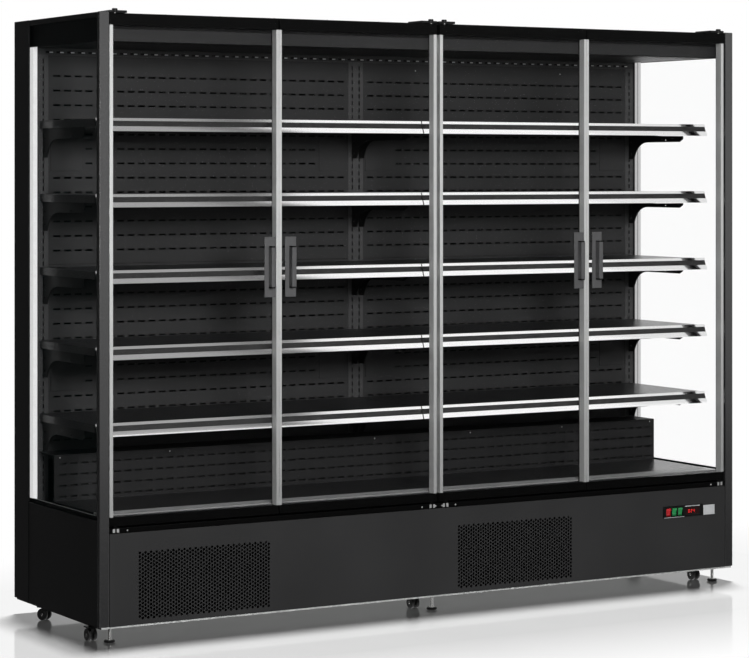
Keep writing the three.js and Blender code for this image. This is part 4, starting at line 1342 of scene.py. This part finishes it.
def stile_section(left, right, front, back, grooved):
    """A door stile seen from above, with two drawn grooves in its grooved side."""
    side, way = (left, 1) if grooved == "left" else (right, -1)
    inner = side + way * GROOVE_DEPTH
    notches = []
    for groove in GROOVES:
        at = front + groove
        notches += [(side, at), (inner, at + 0.4), (inner, at + 1.4), (side, at + 1.8)]
    if grooved == "left":
        return [(right, front), (right, back), (left, back), *notches[::-1], (left, front)]
    return [(left, front), (right, front), *notches, (right, back), (left, back)]


def make_handle(body, plate_left, face):
    """A plate with a T-shaped upright grip, over a black core that shows at its ends."""
    width, height, thickness = HANDLE_PLATE
    centre = plate_left + width / 2
    plate = Form()
    x = (plate_left, plate_left + width)
    seat = face - FIT
    plate.slab(x, (seat - thickness, seat), around(HANDLE_CENTRE, height), 1.2)
    made = []
    for part, form, half, length, finish, replaced in (
        ("_handle_grip", plate, GRIP_HALF, GRIP, handle_plastic, [body + "_handle"]),
        ("_handle_core", Form(), CORE_HALF, CORE, black_plastic, ()),
    ):
        section = [(centre + a, face - b) for a, b in half]
        section += [(centre - a, face - b) for a, b in half[::-1]]
        form.prism(section, "z", around(HANDLE_CENTRE, length), 0.5)
        made.append(piece(body + part, form, finish, body, replaces=replaced))
    return made


def make_panes(body, x, z, face, inner, clear):
    """The door's two panes, with the black print inside the front one's foot and head."""
    panes = Form()
    panes.slab(x, (face, face + FRONT_PANE), z, 0.6)
    panes.slab(inner, (face + REAR_PANE[0], face + REAR_PANE[1]), within(clear, FIT), 0.4)
    piece(body + "_panes", panes, door_glass, body, replaces=[body + "_glass"])
    ink = Form()
    film = (face + FRONT_PANE + 0.04, face + FRONT_PANE + 0.2)
    for band in ((z[0], clear[0]), (clear[1], z[1])):
        ink.slab(x, film, band)
    piece(body + "_print", ink, print_black, body)


def make_door(index, sign):
    """A double-glazed door, hinged at its left where the sign is 1."""
    body = f"door_{index}"
    x, y, z = spans(body + "_glass")
    face = y[0]
    back = spans(body + "_frame")[1][1]
    left, right = x
    stiles = (STILE, MEETING_STILE) if sign > 0 else (MEETING_STILE, STILE)
    clear = (z[0] + BOTTOM_RAIL, z[1] - TOP_RAIL)
    inner = (left + stiles[0] + FIT, right - stiles[1] - FIT)
    make_panes(body, x, z, face, inner, clear)

    front = face + FRONT_PANE + FIT
    web_back = back - WEB_BACK
    web = (front + LIP, web_back)
    lips, profiles, gasket = Form(), Form(), Form()
    for edge, way, width in ((left, 1, stiles[0]), (right, -1, stiles[1])):
        reach = MEETING_REACH if width == MEETING_STILE else 0
        lips.slab(beside(edge, way, width, -reach), (front, front + LIP), clear, 0.3)
        grooved = "left" if way > 0 else "right"
        section = stile_section(*beside(edge, way, width - SPACER), *web, grooved)
        profiles.prism(section, "z", clear, 0.25)
        spacer = beside(edge, way, width, width - SPACER + 0.05)
        profiles.slab(spacer, web, clear, 0.3)
        foot = GASKET_FOOT if way > 0 else GASKET_BLADE
        gasket.slab(beside(edge, way, foot), (web_back + 0.1, back), clear, 0.5)
    unmirrored = [
        piece(body + "_lips", lips, silver, body),
        piece(body + "_profiles", profiles, satin, body, replaces=[body + "_frame"]),
    ]
    rails = Form()
    for band in ((z[0], clear[0]), (clear[1], z[1])):
        rails.slab(x, (front, back), band, 0.5)
    piece(body + "_rails", rails, black_plastic, body, replaces=[body + "_frame"])
    depth = (back + 0.2, SEAL_Y - 0.4)
    near, far = SEAL_BAND
    for blade in ((left + near, left + stiles[0] - 1), (right - GASKET_BLADE, right - 0.4)):
        gasket.slab(blade, depth, within(z, near), 0.5)
    for band in both_ends(within(z, near), far - near):
        gasket.slab((left + stiles[0], right - stiles[1]), depth, band, 2.0)
    unmirrored.append(piece(body + "_gasket", gasket, black_plastic, body))
    hinge = (left if sign > 0 else right) + sign * PIVOT
    pins = Form()
    for low, high in ((z[0] - PIN_LENGTH, z[0]), (z[1], z[1] + PIN_LENGTH)):
        profile = [(PIN - 0.6, low), (PIN, low + 0.6), (PIN, high - 0.6), (PIN - 0.6, high)]
        pins.turned(profile, "z", (hinge, face + PIVOT_BACK, 0))
    piece(body + "_pins", pins, foot_steel, body)
    plate_left = right - HANDLE_INSET - HANDLE_PLATE[0] if sign > 0 else left + HANDLE_INSET
    unmirrored += make_handle(body, plate_left, face)
    # The bright ticket rails behind these don't mirror them.
    for part in unmirrored:
        part.visible_glossy = False


DOOR_SIGNS = (1, -1, 1, -1)
for index, sign in enumerate(DOOR_SIGNS, 1):
    make_door(index, sign)

# ---- hinges ----

ARM_LENGTH = 60
ARM_THICK = 8
BOSS = 9
BOSS_EDGE = 1.5
BOSS_RISE = 12
RAIL_RISE = 17
# Two bright plates to each pivot: their width, and their distance from it.
PIVOT_PLATE = (8, 7)


def door_pivots():
    """Each door's hinged edge, the way it runs from there, and its pivot."""
    for index, sign in enumerate(DOOR_SIGNS, 1):
        left, right = spans(f"door_{index}_glass")[0]
        edge = left if sign > 0 else right
        yield edge, sign, edge + sign * PIVOT


def make_hinge_rail():
    """The rail below the doors, with a bush and two bright plates at each pivot."""
    x, y, z = spans("bottom_hinge_rail")
    rail_top = KICK_TOP + RAIL_RISE
    form = Form().slab(x, y, (z[0], rail_top), 0.8)
    plates = Form()
    for _, _, pivot in door_pivots():
        spot = (pivot, FRONT + PIVOT_BACK, 0)
        boss = [(BOSS, rail_top - 1), (BOSS, z[1] - 2), (BOSS - BOSS_EDGE, z[1])]
        form.turned(boss, "z", spot)
        for side in (-1, 1):
            across = around(pivot + side * PIVOT_PLATE[1], PIVOT_PLATE[0])
            plates.slab(across, (y[0] - 1.2, y[0] - 0.1), (z[0] + 3, rail_top - 2), 0.4)
    piece("bottom_hinge_rail", form, print_black, replaces=["bottom_hinge_rail"])
    piece("pivot_plates", plates, silver)
    points = [(pivot + side * 40, z[0] + 8) for _, _, pivot in door_pivots() for side in (-1, 1)]
    screws("hinge_rail_screws", silver, "front", (0, y[0], 0), points, 3.0, 1.2)


def make_hinge_arms():
    """An arm and a bush at the top of each door."""
    arms = Form()
    low = spans("door_1_glass")[2][1] + 2
    for edge, sign, pivot in door_pivots():
        reach = (FRONT + 4, SEAL_Y + 46)
        arms.slab(beside(edge, sign, ARM_LENGTH), reach, (low, low + ARM_THICK), 0.8)
        spot = (pivot, FRONT + PIVOT_BACK, 0)
        head = TOP + BOSS_RISE
        boss = [(BOSS, low), (BOSS, head - BOSS_EDGE), (BOSS - BOSS_EDGE, head)]
        arms.turned(boss, "z", spot)
    piece("hinge_arms", arms, black_paint)


make_hinge_rail()
make_hinge_arms()

# ---- chassis, feet and castors ----


def dress(node, finish):
    """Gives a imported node's own mesh a finish."""
    for material_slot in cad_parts[node].material_slots:
        material_slot.material = finish.material


dress("base_chassis", galvanised)
dress("base_tub", black_paint)


def make_skirts():
    """Black strips that cover the tray's edge below the two ends."""
    x, y, z = spans("base_chassis")
    form = Form()
    for edge, way in ((x[0], -1), (x[1], 1)):
        form.slab(beside(edge, way, 2, 0.1), y, (z[0], spans("end_frame_left")[2][0]), 0.2)
    piece("end_skirts", form, print_black)


make_skirts()

WHEEL = 20
# A twin wheel's profile from inside to outside, and its cap's: (radius, distance).
TREAD = (
    (17, 5.3), (19.2, 5.9), (WHEEL, 7.6), (WHEEL, 13), (19.2, 14.7), (16.5, 15.3),
    (13, 15.3), (12.4, 14.6),
)
CAP = ((5, 14.2), (5, 15.4), (3.5, 16.4))
REAR_SWIVEL = 30
PAD = 18
PAD_TOP = 9
THREAD_PITCH = 2.5


def middle(node):
    """The middle of a node's box in x and y, in millimetres."""
    x, y, _ = spans(node)
    return mid(x), mid(y)


def make_castor(name, turn):
    """Twin wheels on one axle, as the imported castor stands."""
    fork, wheel = "castor_fork_" + name, "castor_wheel_" + name
    dress(fork, black_plastic)
    x, y = middle(wheel)
    stand = Matrix.Translation(Vector((x, y, 0)) * MM) @ Matrix.Rotation(math.radians(turn), 4, "Z")
    wheels, hubs = Form(), Form()
    axle = (0, 0, WHEEL)
    for side in (-1, 1):
        wheels.turned([(r, side * d) for r, d in TREAD], "x", axle, 28)
        hubs.turned([(r, side * d) for r, d in CAP], "x", axle, 14)
    wheels.turned([(3, -5.5), (3, 5.5)], "x", axle, 12)
    piece(f"castor_tread_{name}", wheels.turn(stand), wheel_plastic, wheel, replaces=[wheel])
    piece(f"castor_hub_{name}", hubs.turn(stand), foot_steel, wheel)


for name in ("front_left", "front_middle", "front_right"):
    make_castor(name, 0)
for name in ("rear_left", "rear_right"):
    make_castor(name, REAR_SWIVEL)


def make_foot(name):
    """A levelling foot: a pad, a nut and a threaded stem."""
    body = "levelling_foot_" + name
    x, y = middle(body)
    top = spans(body)[2][1]
    pad = Form().turned([(PAD - 2, 0), (PAD, 2), (PAD, 6), (PAD - 3, PAD_TOP)], "z", (x, y, 0), 32)
    piece(body + "_pad", pad, black_plastic, body)
    stem = Form()
    stem.turned([(10, PAD_TOP + 0.1), (10, PAD_TOP + 1.6)], "z", (x, y, 0), 24)
    thread = [(5.2, PAD_TOP + 1.6)]
    turns = int((top - PAD_TOP - 4) // THREAD_PITCH)
    for i in range(turns):
        at = PAD_TOP + 2.2 + i * THREAD_PITCH
        thread += [(5.2, at), (6, at + 0.8), (5.2, at + 1.6)]
    thread += [(5.2, top)]
    stem.turned(thread, "z", (x, y, 0), 16)
    piece(body + "_stem", stem, foot_steel, body, replaces=[body])


for name in ("left", "middle", "right"):
    make_foot(name)

# ---- refrigeration ----

dress("evaporator_coil", coil_aluminium)
dress("condensing_unit", black_paint)
dress("condenser_fan", black_plastic)

# ---- surroundings ----

FLOOR_HALF = 40.0
FLOOR_TONE = (0.42, 0.42, 0.42)
# The floor turns white between these distances from the cabinet, in metres.
FLOOR_FADE = (0.45, 1.1)


def staged(name, corners, finish):
    """A flat piece of the surroundings, its corners in metres."""
    mesh = bpy.data.meshes.new(name)
    mesh.from_pydata(corners, [], [(0, 1, 2, 3)])
    mesh.materials.append(finish.material)
    made = added(name, mesh)
    return made


def make_floor():
    """A pale glossy floor that turns into the white behind it away from the cabinet."""
    stone = Finish("floor", "white", FLOOR_TONE, roughness=0.06, specular_ior_level=0.05)
    stone.set("base color", stone.shade(stone.noise(3), 0.99, 1.01))
    side = stone.math("ABSOLUTE", stone.along(0)) + LEFT * MM
    deep = stone.math("ABSOLUTE", stone.along(1)) - BACK * MM
    near = {0: stone.math("MAXIMUM", side, 0.0), 1: stone.math("MAXIMUM", deep, 0.0)}
    gap = stone.node("ShaderNodeCombineXYZ", None, near)[0]
    away = stone.node("ShaderNodeVectorMath", {"operation": "LENGTH"}, {0: gap})["Value"]
    glow = stone.node("ShaderNodeEmission", None, {"Color": (1, 1, 1, 1), "Strength": 1.0})[0]
    seen = stone.node("ShaderNodeLightPath")["Is Camera Ray"]
    share = stone.ramp(away, *FLOOR_FADE) * seen
    mixed = stone.node("ShaderNodeMixShader", None, {0: share, 1: stone.shader[0], 2: glow})[0]
    stone.feed(stone.output.made.inputs["Surface"], mixed)
    half = FLOOR_HALF
    corners = [(-half, -half, 0), (half, -half, 0), (half, half, 0), (-half, half, 0)]
    made = staged("floor", corners, stone)
    made.visible_diffuse = False
    made.visible_glossy = False
    return made


def make_card(name, corners, axis, stops):
    """A card that only reflections see, with its brightness given along one axis in metres."""
    card = Finish(name, "white", (0, 0, 0), roughness=1.0, specular_ior_level=0.0)
    start, end = stops[0][0], stops[-1][0]
    factor = card.ramp(card.along(axis), start, end)
    places = [((at - start) / (end - start), level) for at, level in stops]
    tone = card.node("ShaderNodeValToRGB", {"stops": places}, {0: factor})[0]
    card.set("emission color", tone)
    card.set("emission strength", 1.0)
    made = staged(name, corners, card)
    made.visible_camera = False
    made.visible_diffuse = False
    made.visible_transmission = False
    made.visible_shadow = False


def wall(x, y, z):
    """An upright card's corners, from one (x, y) to another."""
    return [(x[0], y[0], z[0]), (x[1], y[1], z[0]), (x[1], y[1], z[1]), (x[0], y[0], z[1])]


def make_lamp(name, kind, place_at, aim, power, size, named, state="EXCLUDE"):
    """A lamp that leaves one named thing unlit, or lights nothing else."""
    data = bpy.data.lights.new(name, kind)
    data.energy = power
    if kind == "AREA":
        data.shape = "RECTANGLE"
        data.size, data.size_y = size
    else:
        data.angle = size
    lamp = added(name, data)
    lamp.location = place_at
    lamp.rotation_euler = (Vector(aim) - Vector(place_at)).to_track_quat("-Z", "Y").to_euler()
    if named:
        linked = bpy.data.collections.new(name + "_linking")
        linked.objects.link(named)
        linked.collection_objects[0].light_linking.link_state = state
        lamp.light_linking.receiver_collection = linked


# The cards' brightness along them: (metres, level). The front one darkens towards the floor.
FRONT_LIGHT = (
    (-1.5, 0.05), (-0.43, 0.05), (-0.11, 0.12), (0.09, 0.3), (0.37, 0.6), (0.7, 0.8),
    (1.2, 1.0), (2.45, 1.0),
)
RAIL_LIGHT = (
    (-1.3, 0.36), (-1.15, 0.3), (-0.95, 0.16), (-0.8, 0.16), (-0.72, 0.35), (-0.64, 0.9),
    (-0.5, 1.0), (1.15, 1.0), (1.2, 0.8),
)
LEFT_LIGHT = ((0.0, 0.01), (4.0, 0.01))
# The rail card hangs to the right of what it lights, by this much in metres.
RAIL_SHIFT = 2.18
FRONT_Y = (-3.0, -3.0)
CARD_JOINT = 2.45

CABINET_MIDDLE = (0.0, 0.0, 1.0)
SUN_FROM = (0.05, 0.06, 1.0)
SUN_ANGLE = math.radians(4.5)

floor = make_floor()
shifted = [(at + RAIL_SHIFT, level) for at, level in RAIL_LIGHT]
make_card("front_card", wall((-3.0, 7.0), FRONT_Y, (-1.5, CARD_JOINT)), "Z", FRONT_LIGHT)
make_card("left_card", wall((-2.0, -2.0), (-1.2, 5.0), (-1.5, 3.6)), "Z", LEFT_LIGHT)
make_card("rail_card", wall((-0.2, 4.6), FRONT_Y, (CARD_JOINT, 6.0)), "X", shifted)
make_lamp("key", "AREA", (-1.8, -6.4, 2.4), CABINET_MIDDLE, 310, (1.6, 1.0), floor)
make_lamp("fill", "AREA", (-9.0, -2.2, 2.0), CABINET_MIDDLE, 110, (2.0, 2.0), floor)
make_lamp("sun", "SUN", SUN_FROM, (0.0, 0.0, 0.0), 3.14, SUN_ANGLE, None)
make_lamp("floor_sun", "SUN", SUN_FROM, (0.0, 0.0, 0.0), 3.2, SUN_ANGLE, floor, "INCLUDE")


# How bright the world is to rays that light the cabinet, where white is 1.
AMBIENT = 0.12


def make_world():
    """White behind the cabinet and in what it reflects, and a softer light from all round."""
    world = bpy.data.worlds.new("world")
    world.use_nodes = True
    net = Net(world.node_tree)
    net.tree.nodes.clear()
    path = net.node("ShaderNodeLightPath")
    seen = path["Is Camera Ray"] + path["Is Glossy Ray"] + path["Is Transmission Ray"]
    seen = net.math("MINIMUM", seen, 1.0)
    strength = AMBIENT + (1 - AMBIENT) * seen
    glow = net.node("ShaderNodeBackground", None, {"Color": (1, 1, 1, 1), "Strength": strength})[0]
    net.node("ShaderNodeOutputWorld", None, {"Surface": glow})
    bpy.context.scene.world = world


make_world()
bpy.context.scene.view_settings.view_transform = "Standard"
